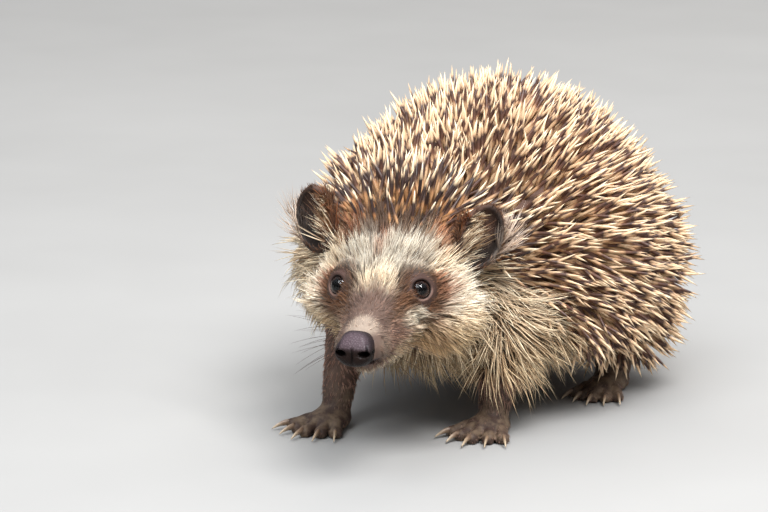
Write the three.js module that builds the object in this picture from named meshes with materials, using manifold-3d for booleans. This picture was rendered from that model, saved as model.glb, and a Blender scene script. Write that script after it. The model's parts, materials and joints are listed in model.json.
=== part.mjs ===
// A hedgehog of about half a kilogram, standing with its right forefoot ahead of its left and its
// head low and turned to its left. Millimetres, +Z up, the floor is z = 0. The animal faces -Y, and
// its left side is at +X. Each solid reaches to the tips of the coat: the envelope of the spines on
// the back and crown, and of the fur on the face, flanks, belly and legs.

import * as THREE from "three";
import Module from "manifold-3d";
import { mergeVertices } from "three/addons/utils/BufferGeometryUtils.js";

const wasm = await Module();
wasm.setup();

// ------------------------------------------------ driving sizes

const GAP = 0.3; // clearance between neighbouring solids
const MIDDLE = [-0.57, -7.76]; // the point of the floor under the middle of the model

const BACK_TOP = 99.5; // height of the spine tips over the back
const BELLY = 11; // height of the fur under the body

// The head's frame starts midway between the eyes, with the nose towards its -Y. The angles are
// degrees: yaw turns the nose to the animal's left, pitch lifts it, and roll lowers the left ear.
const HEAD = { at: [22.3, -72, 52], yaw: 26, pitch: -1, roll: 0.2 };
const EYE = { side: 11, back: 2.1, up: -0.4, radius: 3.3 };
const NOSE = { front: -31.6, up: -10.3, width: 10.6, height: 9.6, depth: 9, rounding: 2.6, taper: 0.2 };
const NOSTRIL = { side: 3.6, up: -0.4, radius: 1.6, depth: 3.4, turn: 34, rise: 10 };
// The right ear is pricked: it stands above the middle height of the two, the left as far below.
const EAR = {
  side: 24.2, back: 26, up: 12, prick: 1.5, width: 13.4, height: 20.4, depth: 11.4, wall: 1.8,
  lean: 14, splay: 22, turn: 24,
};

// The feet: the middle of each palm on the floor, how far its toes turn to the animal's left in
// degrees, and the point inside the body that the leg comes from.
const FEET = {
  left_fore: { at: [28, -27], turn: 10, from: [29, -20, 34], size: "fore" },
  right_fore: { at: [-13, -51], turn: 0, from: [-16, -36, 36], size: "fore" },
  left_hind: { at: [28, 34], turn: 16, from: [28, 42, 34], size: "hind" },
  right_hind: { at: [-29, 50], turn: -16, from: [-27, 50, 34], size: "hind" },
};
const FOOT_SIZES = {
  fore: {
    palm: [6.4, 7.4, 3.9], ankle: 7.2, wrist: 4.6, top: 7.6,
    toe: 6.4, toeRadius: 1.9, claw: 5, spread: 17,
  },
  hind: {
    palm: [5.8, 12, 3.7], ankle: 6.6, wrist: 5.4, top: 10,
    toe: 6, toeRadius: 1.8, claw: 4.4, spread: 13,
  },
};
const CLAW = { radius: 0.95, sides: 6, sunk: 0.9, droop: 9, up: 0.4 };
const TAIL = { from: [0, 66, 21], to: [-1, 86, 12], root: 4.2, tip: 1.5 };

// The grid that each form is meshed on, and the shortest edge that is kept.
const SLIVER = 0.02;
const CELL = { trunk: 7.8, head: 3.8, leg: 4, foot: 2.6, nose: 1.8, tail: 2.3 };

// ------------------------------------------------ fields: distance from a form, negative inside

const rad = THREE.MathUtils.degToRad;

function ellipsoid([cx, cy, cz], [rx, ry, rz]) {
  return (x, y, z) => {
    const [u, v, w] = [(x - cx) / rx, (y - cy) / ry, (z - cz) / rz];
    const reach = Math.hypot(u, v, w);
    const slope = Math.hypot(u / rx, v / ry, w / rz);
    return slope < 1e-9 ? -Math.min(rx, ry, rz) : (reach * (reach - 1)) / slope;
  };
}

function limb(a, b, radiusA, radiusB) {
  const start = new THREE.Vector3(...a);
  const along = new THREE.Vector3(...b).sub(start);
  const span = along.lengthSq();
  return (x, y, z) => {
    const from = [x - start.x, y - start.y, z - start.z];
    const share = THREE.MathUtils.clamp(
      (from[0] * along.x + from[1] * along.y + from[2] * along.z) / span, 0, 1);
    const off = from.map((value, k) => value - share * along.getComponent(k));
    return Math.hypot(...off) - THREE.MathUtils.lerp(radiusA, radiusB, share);
  };
}

function halfSpace(at, normal) {
  const n = new THREE.Vector3(...normal).normalize();
  return (x, y, z) => (x - at[0]) * n.x + (y - at[1]) * n.y + (z - at[2]) * n.z;
}

function softMin(a, b, soft) {
  const h = Math.max(soft - Math.abs(a - b), 0) / soft;
  return Math.min(a, b) - (h * h * soft) / 4;
}

const blend = (soft, ...fields) => (x, y, z) =>
  fields.map((field) => field(x, y, z)).reduce((a, b) => softMin(a, b, soft));
const carve = (soft, base, tool) => (x, y, z) => -softMin(-base(x, y, z), tool(x, y, z), soft);
const grow = (amount, field) => (x, y, z) => field(x, y, z) - amount;
const bothSides = (make) => [make(1), make(-1)];

// A field that was written in a turned frame, seen from the body's frame.
function placed(frame, field) {
  const inward = frame.clone().invert().elements;
  return (x, y, z) =>
    field(
      inward[0] * x + inward[4] * y + inward[8] * z + inward[12],
      inward[1] * x + inward[5] * y + inward[9] * z + inward[13],
      inward[2] * x + inward[6] * y + inward[10] * z + inward[14]);
}

// ------------------------------------------------ from fields to solids

// Surface nets: one vertex in each cell that the surface crosses, then slid onto the surface.
function netOf(field, low, high, cell) {
  const count = low.map((value, k) => Math.ceil((high[k] - value) / cell) + 1);
  const place = (i, k) => low[k] + i * cell;
  const rim = (i, k) => i === 0 || i === count[k] - 1;
  const at = (i, j, k) => (k * count[1] + j) * count[0] + i;
  const value = new Float64Array(count[0] * count[1] * count[2]);
  for (let k = 0; k < count[2]; k++)
    for (let j = 0; j < count[1]; j++)
      for (let i = 0; i < count[0]; i++) {
        const found = field(place(i, 0), place(j, 1), place(k, 2));
        value[at(i, j, k)] = rim(i, 0) || rim(j, 1) || rim(k, 2) ? Math.max(found, cell / 20) : found;
      }

  const vertices = [];
  const vertexOf = new Map();
  const corners = [0, 1, 2, 3, 4, 5, 6, 7].map((c) => [c & 1, (c >> 1) & 1, c >> 2]);
  const differing = (a, b) => a.filter((value, n) => value !== b[n]).length;
  const edges = corners.flatMap((a, m) =>
    corners.slice(m + 1).filter((b) => differing(a, b) === 1).map((b) => [a, b]));
  for (let k = 0; k < count[2] - 1; k++)
    for (let j = 0; j < count[1] - 1; j++)
      for (let i = 0; i < count[0] - 1; i++) {
        const sum = [0, 0, 0];
        let crossings = 0;
        for (const [a, b] of edges) {
          const va = value[at(i + a[0], j + a[1], k + a[2])];
          const vb = value[at(i + b[0], j + b[1], k + b[2])];
          if (va < 0 === vb < 0) continue;
          const share = va / (va - vb);
          for (let n = 0; n < 3; n++) sum[n] += a[n] + share * (b[n] - a[n]);
          crossings++;
        }
        if (!crossings) continue;
        const start = [i, j, k].map((index, n) => place(index + sum[n] / crossings, n));
        vertexOf.set(at(i, j, k), vertices.length / 3);
        vertices.push(...slide(field, start, cell * 0.8));
      }

  const triangles = [];
  const steps = [[1, 0, 0], [0, 1, 0], [0, 0, 1]];
  for (let k = 0; k < count[2] - 1; k++)
    for (let j = 0; j < count[1] - 1; j++)
      for (let i = 0; i < count[0] - 1; i++)
        steps.forEach((step, axis) => {
          if ([i, j, k].some((index, other) => index === 0 && other !== axis)) return;
          const here = value[at(i, j, k)] < 0;
          const there = value[at(i + step[0], j + step[1], k + step[2])] < 0;
          if (here === there) return;
          const [u, v] = [steps[(axis + 1) % 3], steps[(axis + 2) % 3]];
          const around = [[0, 0], [1, 0], [1, 1], [0, 1]].map(([a, b]) =>
            vertexOf.get(at(i - a * u[0] - b * v[0], j - a * u[1] - b * v[1], k - a * u[2] - b * v[2])));
          if (there) around.reverse();
          triangles.push(around[0], around[1], around[2], around[0], around[2], around[3]);
        });

  const geometry = new THREE.BufferGeometry();
  geometry.setAttribute("position", new THREE.Float32BufferAttribute(vertices, 3));
  geometry.setIndex(triangles);
  return geometry;
}

// Moves a point onto the surface of a field, by no more than `most`.
function slide(field, start, most) {
  const step = 0.01;
  const point = new THREE.Vector3(...start);
  for (let turn = 0; turn < 5; turn++) {
    const here = field(point.x, point.y, point.z);
    const slope = new THREE.Vector3(
      field(point.x + step, point.y, point.z) - here,
      field(point.x, point.y + step, point.z) - here,
      field(point.x, point.y, point.z + step) - here).divideScalar(step);
    point.addScaledVector(slope, -here / Math.max(slope.lengthSq(), 0.25));
  }
  const moved = point.sub(new THREE.Vector3(...start)).clampLength(0, most);
  return moved.add(new THREE.Vector3(...start)).toArray();
}

function solidOf(geometry) {
  const bare = new THREE.BufferGeometry();
  const source = geometry.index ? geometry.toNonIndexed() : geometry;
  bare.setAttribute("position", source.getAttribute("position"));
  const merged = mergeVertices(bare, 1e-4);
  return new wasm.Manifold(new wasm.Mesh({
    numProp: 3,
    vertProperties: new Float32Array(merged.attributes.position.array),
    triVerts: new Uint32Array(merged.index.array),
  }));
}

// A cut leaves slivers: the two ends of each edge shorter than SLIVER become one point.
function geometryOf(solid) {
  const { vertProperties, triVerts, numProp } = solid.getMesh();
  const points = [];
  for (let k = 0; k < vertProperties.length; k += numProp) points.push(vertProperties.slice(k, k + 3));
  const same = points.map((_, index) => index);
  const find = (index) => (same[index] === index ? index : find(same[index]));
  const apart = (a, b) => Math.hypot(...points[a].map((value, n) => value - points[b][n]));
  for (let k = 0; k < triVerts.length; k += 3)
    for (const [a, b] of [[0, 1], [1, 2], [2, 0]]) {
      const [first, second] = [find(triVerts[k + a]), find(triVerts[k + b])];
      if (first !== second && apart(first, second) < SLIVER) same[second] = first;
    }
  const triangles = [];
  for (let k = 0; k < triVerts.length; k += 3) {
    const corners = [0, 1, 2].map((n) => find(triVerts[k + n]));
    if (new Set(corners).size === 3) triangles.push(...corners);
  }
  const geometry = new THREE.BufferGeometry();
  geometry.setAttribute("position", new THREE.Float32BufferAttribute(points.flatMap((p) => [...p]), 3));
  geometry.setIndex(triangles);
  geometry.computeVertexNormals();
  return geometry;
}

const netSolid = (field, low, high, cell) => solidOf(netOf(field, low, high, cell));

// The side of a plane that its normal points to, less `clear`, as a big block to cut with.
function block(at, normal, clear = 0) {
  const size = 400;
  const box = new THREE.BoxGeometry(size, size, size);
  box.translate(0, 0, size / 2 + clear);
  const turn = new THREE.Quaternion().setFromUnitVectors(
    new THREE.Vector3(0, 0, 1), new THREE.Vector3(...normal).normalize());
  return solidOf(box.applyQuaternion(turn).translate(...at));
}

// ------------------------------------------------ the body's forms

const turnOf = (pitch, roll, yaw) =>
  new THREE.Quaternion().setFromEuler(new THREE.Euler(rad(pitch), rad(roll), rad(yaw), "ZXY"));
const frameAt = (at, turn) =>
  new THREE.Matrix4().compose(new THREE.Vector3(...at), turn, new THREE.Vector3(1, 1, 1));
const headFrame = frameAt(HEAD.at, turnOf(HEAD.pitch, HEAD.roll, HEAD.yaw));
const inBody = (point) => new THREE.Vector3(...point).applyMatrix4(headFrame).toArray();
const turned = (normal) => new THREE.Vector3(...normal).transformDirection(headFrame).toArray();

const barrel = ellipsoid([0, 15, BACK_TOP / 2 - 2], [54, 53, BACK_TOP / 2 + 2]);
const shoulders = ellipsoid([-7, -18, 44], [49, 34, 40]);
const rump = ellipsoid([0, 43, 38], [48, 37, 40]);
const skirt = ellipsoid([0, 13, 32], [51, 58, 27]);
const under = halfSpace([0, 0, BELLY], [0, 0, 1]);
const trunkForm = carve(7, blend(12, barrel, shoulders, rump, skirt), under);

const skull = ellipsoid([0, 23, -2], [23, 22, 18]);
const hood = ellipsoid([0, 38, 9], [28, 24, 22]);
const cheeks = bothSides((side) => ellipsoid([side * 14, 19, -9], [15, 16, 14]));
const face = ellipsoid([0, 5, -5], [12.5, 14, 11]);
const muzzle = limb([0, -2, -7], [0, -23, -10.5], 10, 5.6);
const chin = limb([0, 8, -16], [0, -18, -15.8], 7.6, 3.4);
const headForm = blend(7, skull, hood, ...cheeks, face, muzzle, chin);

// An ear's frame has its opening towards -Y and its tip towards +Z. The coat is short in front of
// it, which leaves a hollow there.
const earFrame = (side) => headFrame.clone().multiply(frameAt(
  [side * EAR.side, EAR.back, EAR.up - side * EAR.prick],
  turnOf(-EAR.lean, side * EAR.splay, side * EAR.turn)));
const earHollow = (side) => placed(earFrame(side), ellipsoid([-side * 1.5, -7.5, 3], [8.5, 8, 10.5]));

const coat = blend(10, trunkForm, placed(headFrame, headForm));
const earedCoat = bothSides(earHollow).reduce((form, hollow) => carve(3, form, hollow), coat);

// The nose pad is a box rounded by a power, narrower at the top.
function padForm(x, y, z) {
  const half = [NOSE.width / 2, NOSE.depth / 2, NOSE.height / 2];
  const rise = THREE.MathUtils.clamp((z - NOSE.up) / half[2], -1, 1);
  const off = [x / (1 - NOSE.taper * Math.max(rise, 0)), y - NOSE.front - half[1], z - NOSE.up];
  const reach = off.map((value, k) => Math.abs(value / half[k]) ** NOSE.rounding);
  return ((reach[0] + reach[1] + reach[2]) ** (1 / NOSE.rounding) - 1) * Math.min(...half);
}

// A nostril: a tapering bore that opens forwards and outwards.
const nostril = (side) => solidOf(
  new THREE.CylinderGeometry(NOSTRIL.radius, NOSTRIL.radius / 2, 2 * NOSTRIL.depth, 8)
    .rotateX(rad(90))
    .applyMatrix4(frameAt(
      [side * NOSTRIL.side, NOSE.front, NOSE.up + NOSTRIL.up],
      turnOf(-NOSTRIL.rise, 0, side * NOSTRIL.turn)))
    .applyMatrix4(headFrame));

// An ear: a deep oval cup. Its profile runs from the middle of the inside over the rim to the
// middle of the back.
function earShape() {
  const inside = [[0, 1 - 2 * EAR.wall / EAR.depth], [0.5, 0.5], [0.76, 0.1], [0.87, -0.26]];
  const outside = [[0.95, -0.34], [1, -0.22], [0.97, 0.22], [0.78, 0.62], [0.45, 0.9], [0, 1]];
  const profile = [...inside, ...outside].map(([r, h]) => new THREE.Vector2(r, h));
  return new THREE.LatheGeometry(profile, 14)
    .scale(EAR.width / 2, EAR.depth / 2, EAR.height / 2);
}

// A leg and its foot, in a frame on the floor at the palm with the toes towards -Y.
function legFrame({ at, turn }) {
  return new THREE.Matrix4().makeRotationZ(rad(turn)).setPosition(at[0], at[1], 0);
}
function toeLines({ palm, toe, spread, toeRadius }) {
  return [-2, -1, 0, 1, 2].map((place) => {
    const angle = rad(place * spread);
    const length = toe * (1 - 0.09 * Math.abs(place) ** 1.5);
    const root = [place * palm[0] * 0.42, -palm[1] * 0.62 + Math.abs(place) * 0.9, palm[2] * 0.7];
    const end = [
      root[0] + Math.sin(angle) * length,
      root[1] - Math.cos(angle) * length,
      toeRadius * 0.86];
    return { root, end, angle };
  });
}
function legForm(foot) {
  const size = FOOT_SIZES[foot.size];
  const top = new THREE.Vector3(...foot.from).applyMatrix4(legFrame(foot).invert()).toArray();
  const heel = [0, size.palm[1] * 0.45, size.ankle * 0.7];
  const palm = ellipsoid([0, 0, size.palm[2] * 0.72], size.palm);
  const toes = toeLines(size).map(({ root, end }) => limb(root, end, size.toeRadius * 1.15, size.toeRadius));
  const shank = limb(heel, top, size.wrist, size.top);
  return placed(legFrame(foot), blend(2.5, shank, palm, blend(0.8, ...toes)));
}
function claws(foot) {
  const size = FOOT_SIZES[foot.size];
  return toeLines(size).map(({ end, angle }) => {
    const claw = new THREE.ConeGeometry(CLAW.radius, size.claw, CLAW.sides)
      .translate(0, size.claw / 2 - CLAW.sunk, 0)
      .rotateX(-rad(90 + CLAW.droop))
      .rotateZ(angle)
      .translate(end[0], end[1], end[2] + CLAW.up);
    return solidOf(claw.applyMatrix4(legFrame(foot)));
  });
}

// ------------------------------------------------ where the body is divided

// Each plane is a point and a direction.
const NAPE = { at: inBody([0, 31, 0]), back: turned([0, 0.91, -0.41]) };
const COLLAR = { at: [0, -30, 46], back: [-0.22, 0.97, -0.36] };
const MOUTH = { at: inBody([0, -26, -15]), down: turned([0, -0.1, -1]) };
const JAW_BACK = { at: inBody([0, 4, -16]), ahead: turned([0, -1, 0.5]) };
const flip = (normal) => normal.map((value) => -value);

// The box, square to the body's frame, that reaches `reach` each way from a frame's origin.
function boxRound(frame, reach) {
  const middle = new THREE.Vector3().setFromMatrixPosition(frame).toArray();
  return [middle.map((value) => value - reach), middle.map((value) => value + reach)];
}

// ------------------------------------------------ the pieces

const looks = {
  spines: { color: 0x8a7355, roughness: 0.7, metalness: 0 },
  fur: { color: 0xa98f6d, roughness: 0.95, metalness: 0 },
  limbs: { color: 0x5d4a3c, roughness: 0.9, metalness: 0 },
  pad: { color: 0x3a2f31, roughness: 0.35, metalness: 0 },
  wet: { color: 0x0b0807, roughness: 0.08, metalness: 0 },
};

const model = new THREE.Group();
function add(name, solid, look) {
  const mesh = new THREE.Mesh(geometryOf(solid), new THREE.MeshStandardMaterial(looks[look]));
  mesh.name = name;
  mesh.position.set(-MIDDLE[0], -MIDDLE[1], 0);
  model.add(mesh);
}

const bodyNet = (grown) => netSolid(grow(grown, coat), [-75, -110, -2], [75, 95, 112], CELL.trunk);
const headNet = netSolid(earedCoat, [-55, -120, 8], [75, -8, 112], CELL.head)
  .intersect(block(NAPE.at, flip(NAPE.back), GAP / 2));
const ball = (at, radius) => solidOf(new THREE.SphereGeometry(radius, 14, 9).translate(...at));

const noseFrame = headFrame.clone().multiply(new THREE.Matrix4().setPosition(0, NOSE.front, NOSE.up));
const noseNet = (grown) =>
  netSolid(grow(grown, placed(headFrame, padForm)), ...boxRound(noseFrame, 13), CELL.nose);
const earSpace = (side) => solidOf(new THREE.SphereGeometry(1, 16, 12)
  .scale(EAR.width / 2 + GAP, EAR.depth / 2 + GAP, EAR.height / 2 + GAP)
  .applyMatrix4(earFrame(side)));
const eyeAt = bothSides((side) => inBody([side * EYE.side, EYE.back, EYE.up]));
const jawSide = (clear) =>
  block(MOUTH.at, MOUTH.down, clear).intersect(block(JAW_BACK.at, JAW_BACK.ahead, clear));

// What the head leaves room for: the eyes, the ears and the nose pad.
const organs = [
  ...eyeAt.map((at) => ball(at, EYE.radius + GAP)),
  ...bothSides(earSpace),
  noseNet(GAP),
];
const cutFor = (solid, tools) => tools.reduce((left, tool) => left.subtract(tool), solid);

const whole = bodyNet(0);
add("trunk", whole.intersect(block(COLLAR.at, COLLAR.back, GAP / 2)), "spines");
const neck = whole
  .intersect(block(COLLAR.at, flip(COLLAR.back), GAP / 2))
  .intersect(block(NAPE.at, NAPE.back, GAP / 2));
add("neck", cutFor(neck, bothSides(earSpace)), "spines");
add("head", cutFor(headNet, [...organs, jawSide(-GAP / 2)]), "fur");
add("jaw", cutFor(headNet.intersect(jawSide(GAP / 2)), organs), "fur");
add("nose", cutFor(noseNet(0), bothSides(nostril)), "pad");
["left", "right"].forEach((name, k) => {
  add(`eye_${name}`, ball(eyeAt[k], EYE.radius), "wet");
  add(`ear_${name}`, solidOf(earShape().applyMatrix4(earFrame(1 - 2 * k))), "limbs");
});

const floor = block([0, 0, 0], [0, 0, 1]);
const grownBody = bodyNet(GAP);
for (const [name, foot] of Object.entries(FEET)) {
  const ankle = [0, 0, FOOT_SIZES[foot.size].ankle];
  const [low, high] = boxRound(legFrame(foot), 26);
  const limbNet = (cell) => netSolid(legForm(foot), [low[0], low[1], -6], [high[0], high[1], 40], cell);
  const sole = limbNet(CELL.foot).intersect(block(ankle, [0, 0, -1], GAP / 2));
  const clawed = claws(foot).reduce((left, claw) => left.add(claw), sole);
  add(`${name}_foot`, clawed.intersect(floor), "limbs");
  const shank = limbNet(CELL.leg).intersect(block(ankle, [0, 0, 1], GAP / 2));
  add(`${name}_leg`, shank.subtract(grownBody), "limbs");
}
const tailForm = limb(TAIL.from, TAIL.to, TAIL.root, TAIL.tip);
add("tail", netSolid(tailForm, [-8, 58, 4], [8, 92, 30], CELL.tail).subtract(grownBody), "limbs");

export default model;
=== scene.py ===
# A hedgehog in life size, standing with its head low and turned to its left.
#
# The skin follows one field of distances: the solids' own forms drawn in by the depth of the
# coat, with lids, lips, ears, legs and feet joined on. Spines, fur and whiskers are solid meshes
# rooted on that skin. Forms are worked in millimetres in the body's own frame, where the animal
# faces -Y and its left side is at +X; a mesh is moved to the model's frame as it is made.

import json
import math

import bpy
import numpy as np
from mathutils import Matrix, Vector
from mathutils.kdtree import KDTree

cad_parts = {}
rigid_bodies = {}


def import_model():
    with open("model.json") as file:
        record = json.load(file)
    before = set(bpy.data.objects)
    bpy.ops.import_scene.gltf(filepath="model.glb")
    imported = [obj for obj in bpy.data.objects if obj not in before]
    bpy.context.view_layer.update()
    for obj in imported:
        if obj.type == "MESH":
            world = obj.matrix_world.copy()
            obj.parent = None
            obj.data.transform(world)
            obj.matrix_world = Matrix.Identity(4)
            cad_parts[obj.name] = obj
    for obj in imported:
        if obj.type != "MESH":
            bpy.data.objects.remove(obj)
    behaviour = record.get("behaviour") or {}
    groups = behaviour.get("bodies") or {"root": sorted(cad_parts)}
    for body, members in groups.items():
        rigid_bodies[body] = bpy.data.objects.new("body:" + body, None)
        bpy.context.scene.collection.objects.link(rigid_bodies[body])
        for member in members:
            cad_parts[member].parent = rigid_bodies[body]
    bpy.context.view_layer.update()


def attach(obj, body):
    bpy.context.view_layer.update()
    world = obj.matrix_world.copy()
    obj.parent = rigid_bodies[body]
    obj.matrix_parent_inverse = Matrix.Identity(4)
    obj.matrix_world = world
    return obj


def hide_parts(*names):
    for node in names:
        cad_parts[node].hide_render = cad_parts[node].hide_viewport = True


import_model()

# ------------------------------------------------ sizes, in mm and degrees

# the body, as in the solids

MIDDLE = np.array([-0.57, -7.76, 0.0])
MM = 0.001
BACK_TOP = 99.5
BELLY = 11.0
HEAD_AT = np.array([22.3, -72.0, 52.0])
HEAD_YAW, HEAD_PITCH, HEAD_ROLL = 26, -1, 0.2
EYE_AT = np.array([11.0, 2.1, -0.4])
EYE_AXIS = np.array([0.562, -0.774, 0.292])
EYE_RADIUS = 3.3
NOSE_FRONT, NOSE_UP, NOSE_DEPTH = -31.6, -10.8, 9.0
EAR_AT = np.array([24.2, 26.0, 12.0])
EAR_PRICK = 1.5
EAR_LEAN, EAR_SPLAY, EAR_TURN = 14, 22, 24
FEET = {
    "left_fore": dict(at=(28, -27), turn=10, top=(29, -20, 34), size="fore"),
    "right_fore": dict(at=(-13, -51), turn=0, top=(-16, -36, 36), size="fore"),
    "left_hind": dict(at=(28, 34), turn=16, top=(28, 42, 34), size="hind"),
    "right_hind": dict(at=(-29, 50), turn=-16, top=(-27, 50, 34), size="hind"),
}
FOOT_SIZES = {
    "fore": dict(palm=(6.4, 7.4, 3.9), ankle=7.2, wrist=4.6, top=7.6, toe=6.4, toe_radius=1.9,
                 claw=5.0, spread=17),
    "hind": dict(palm=(5.8, 12.0, 3.7), ankle=6.6, wrist=5.4, top=10.0, toe=6.0, toe_radius=1.8,
                 claw=4.4, spread=13),
}
TAIL_FROM, TAIL_TO = (0, 66, 21), (-1, 86, 12)

# the grids that the skin and the nose pad are found on
HEAD_CELL, BODY_CELL, NOSE_CELL = 0.68, 1.45, 0.36

# the coat
SPINE_DEPTH = 12.5
SPINE_GAP, WIDER_AT_BROW = 1.54, 0.3
SPINE_LENGTHS, SPINE_RADII = (14.4, 17.8), (0.52, 0.68)
SPINE_LEAN = 44
SPINE_SIDES, HAIR_SIDES, WHISKER_SIDES = 5, 3, 4
SPINE_SUNK, HAIR_SUNK, WHISKER_SUNK = 0.8, 0.35, 0.5
SPINE_STATIONS, SPINE_TAPER = (0, 0.35, 0.7, 0.86), (0.7, 1.0, 0.92, 0.5)
LOWEST_SPINE, LOWEST_TIP = 13, 0.15
BROW_BEND, BROW_WIDE = 0.019, 34
HAIR_SHAPES = {2: ((0, 0.5), (1.0, 0.8)), 3: ((0, 0.36, 0.72), (0.9, 1.0, 0.6))}
WHISKER_SHAPE = (0, 0.15, 0.3, 0.45, 0.6, 0.75, 0.9), (1.0, 0.95, 0.85, 0.75, 0.62, 0.45, 0.28)
FRINGE_TUFTS, OUTER_TUFTS = 240, 90
TUFT_PATCH = 0.003
TRIES_PER_ROOT = 1.9
SEEDS = dict(spine_roots=5, fur_roots=7, spines=11, fur=23, whiskers=31, claws=41)

# ovals on the head and on an ear: middle, radii and how soft the edge is
RIGHT_CHEEK = ((-19, 8, -17), (9, 12, 8), 0.8)
EAR_FUR = ((0, 0, 0), (7.4, 6.6, 11), 0.05)
WHOLE_EAR = ((0, 0, 0), (7.8, 7, 11.4), 0.05)


# ------------------------------------------------ frames

def turned_by(pitch, roll, yaw):
    """Yaw about Z, pitch about X, then roll about Y, as one matrix."""
    a, b, c = (math.radians(v) for v in (pitch, roll, yaw))
    about_x = np.array([[1, 0, 0], [0, math.cos(a), -math.sin(a)], [0, math.sin(a), math.cos(a)]])
    about_y = np.array([[math.cos(b), 0, math.sin(b)], [0, 1, 0], [-math.sin(b), 0, math.cos(b)]])
    about_z = np.array([[math.cos(c), -math.sin(c), 0], [math.sin(c), math.cos(c), 0], [0, 0, 1]])
    return about_z @ about_x @ about_y


HEAD_TURN = turned_by(HEAD_PITCH, HEAD_ROLL, HEAD_YAW)


def to_head(p):
    return (p - HEAD_AT) @ HEAD_TURN


def from_head(h):
    return np.asarray(h, float) @ HEAD_TURN.T + HEAD_AT


def unit(v):
    return v / np.maximum(np.linalg.norm(v, axis=-1, keepdims=True), 1e-9)


def ear_frame(side):
    turn = HEAD_TURN @ turned_by(-EAR_LEAN, side * EAR_SPLAY, side * EAR_TURN)
    return turn, from_head(EAR_AT * (side, 1, 1) - (0, 0, side * EAR_PRICK))


def to_ear(p, side):
    """A place in an ear's own frame, the right ear's turned over to match the left one."""
    turn, at = ear_frame(side)
    return ((p - at) @ turn) * (side, 1, 1)


def from_nose_tip(h):
    return np.linalg.norm(h - (0, NOSE_FRONT, NOSE_UP), axis=-1)


def foot_frame(foot):
    return turned_by(0, 0, foot["turn"]), np.array([*foot["at"], 0.0])


def eye_frame(side):
    """Across the eye towards the ear, up, and out along its axis."""
    out = EYE_AXIS * (side, 1, 1)
    across = unit(np.cross((0, 0, 1), out)) * side
    return np.stack([across, np.cross(out, across) * side, out], axis=1)


def eased(x, low, high):
    t = np.clip((x - low) / (high - low), 0, 1)
    return t * t * (3 - 2 * t)


# ------------------------------------------------ fields: distance from a form, negative inside

def ellipsoid(centre, radii):
    centre, radii = np.array(centre, float), np.array(radii, float)

    def field(p):
        q = (p - centre) / radii
        reach = np.sqrt((q * q).sum(-1))
        q /= radii
        slope = np.sqrt((q * q).sum(-1))
        return np.where(slope < 1e-6, -radii.min(), reach * (reach - 1) / np.maximum(slope, 1e-6))
    return field


def limb(a, b, radius_a, radius_b):
    a, along = np.array(a, float), np.array(b, float) - np.array(a, float)

    def field(p):
        off = p - a
        share = np.clip(off @ along / (along @ along), 0, 1)
        return np.linalg.norm(off - share[..., None] * along, axis=-1) \
            - (radius_a + (radius_b - radius_a) * share)
    return field


def soft_min(a, b, soft):
    h = np.maximum(soft - np.abs(a - b), 0) / soft
    return np.minimum(a, b) - h * h * soft / 4


def blend(soft, *values):
    joined = values[0]
    for value in values[1:]:
        joined = soft_min(joined, value, soft)
    return joined


def carve(soft, base, tool):
    return -soft_min(-base, tool, soft)


BARREL = ellipsoid((0, 15, BACK_TOP / 2 - 2), (54, 53, BACK_TOP / 2 + 2))
SHOULDERS = ellipsoid((-7, -18, 44), (49, 34, 40))
RUMP = ellipsoid((0, 43, 38), (48, 37, 40))
SKIRT = ellipsoid((0, 13, 32), (51, 58, 27))
SKULL = ellipsoid((0, 23, -2), (23, 22, 18))
HOOD = ellipsoid((0, 38, 9), (28, 24, 22))
CHEEK = ellipsoid((14, 19, -9), (15, 16, 14))
FACE = ellipsoid((0, 5, -5), (12.5, 14, 11))
MUZZLE = limb((0, -2, -7), (0, -23, -10.5), 10, 5.6)
CHIN = limb((0, 8, -16), (0, -18, -15.8), 7.6, 3.4)
EAR_HOLLOW = ellipsoid((0.8, -6.5, 4.5), (6.4, 6.5, 9.5))
EAR_OUTSIDE = ellipsoid((0, 0, 0), (6.6, 5.6, 10.1))
EAR_INSIDE = ellipsoid((0, -2.7, 0.2), (5.4, 6.5, 8.8))
EAR_FOLD = limb((-2.4, 1.0, -7), (-1.2, 2.4, 1.5), 1.5, 0.7)
WHISKER_PAD = ellipsoid((4.3, -19.5, -11.6), (3.2, 7, 4.2))
UPPER_LIP = ellipsoid((1.7, -24.6, -14.0), (2.5, 3.6, 2.1))
ORBIT = ellipsoid((0.3, 0.6, -1.9), (6.9, 6.9, 3.6))


def mirrored(h):
    """The same point on the left half of the head."""
    return np.stack([np.abs(h[..., 0]), h[..., 1], h[..., 2]], axis=-1)


def brow_curve(h, bend, wide):
    """How far the brow's line falls back, away from the middle of the head."""
    return bend * np.minimum(np.abs(h[..., 0]), wide) ** 2


def spine_line(p, h):
    """How far inside the spiny part a point is: behind the brow and above the flanks' fur."""
    brow = h[..., 1] - (14.5 + brow_curve(h, BROW_BEND, BROW_WIDE))
    line = np.interp(p[..., 1], [-60, -40, -30, -20, -10, 0, 12, 40, 85],
                     [66, 61, 55, 46, 37, 28, 20, 15, 11])
    line = line + 20 * eased(-p[..., 0], 14, 30) * eased(p[..., 1], 14, -10)
    return soft_min(brow, p[..., 2] - line, 6.0)


def coat_field(p, h):
    """The animal as its coat's tips outline it."""
    trunk = blend(12, BARREL(p), SHOULDERS(p), RUMP(p), SKIRT(p))
    trunk = carve(7, trunk, p[..., 2] - BELLY)
    left = mirrored(h)
    head = blend(7, SKULL(h), HOOD(h), CHEEK(left), CHEEK(left * (-1, 1, 1)), FACE(h),
                 MUZZLE(h), CHIN(h))
    return soft_min(trunk, head, 10)


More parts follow.
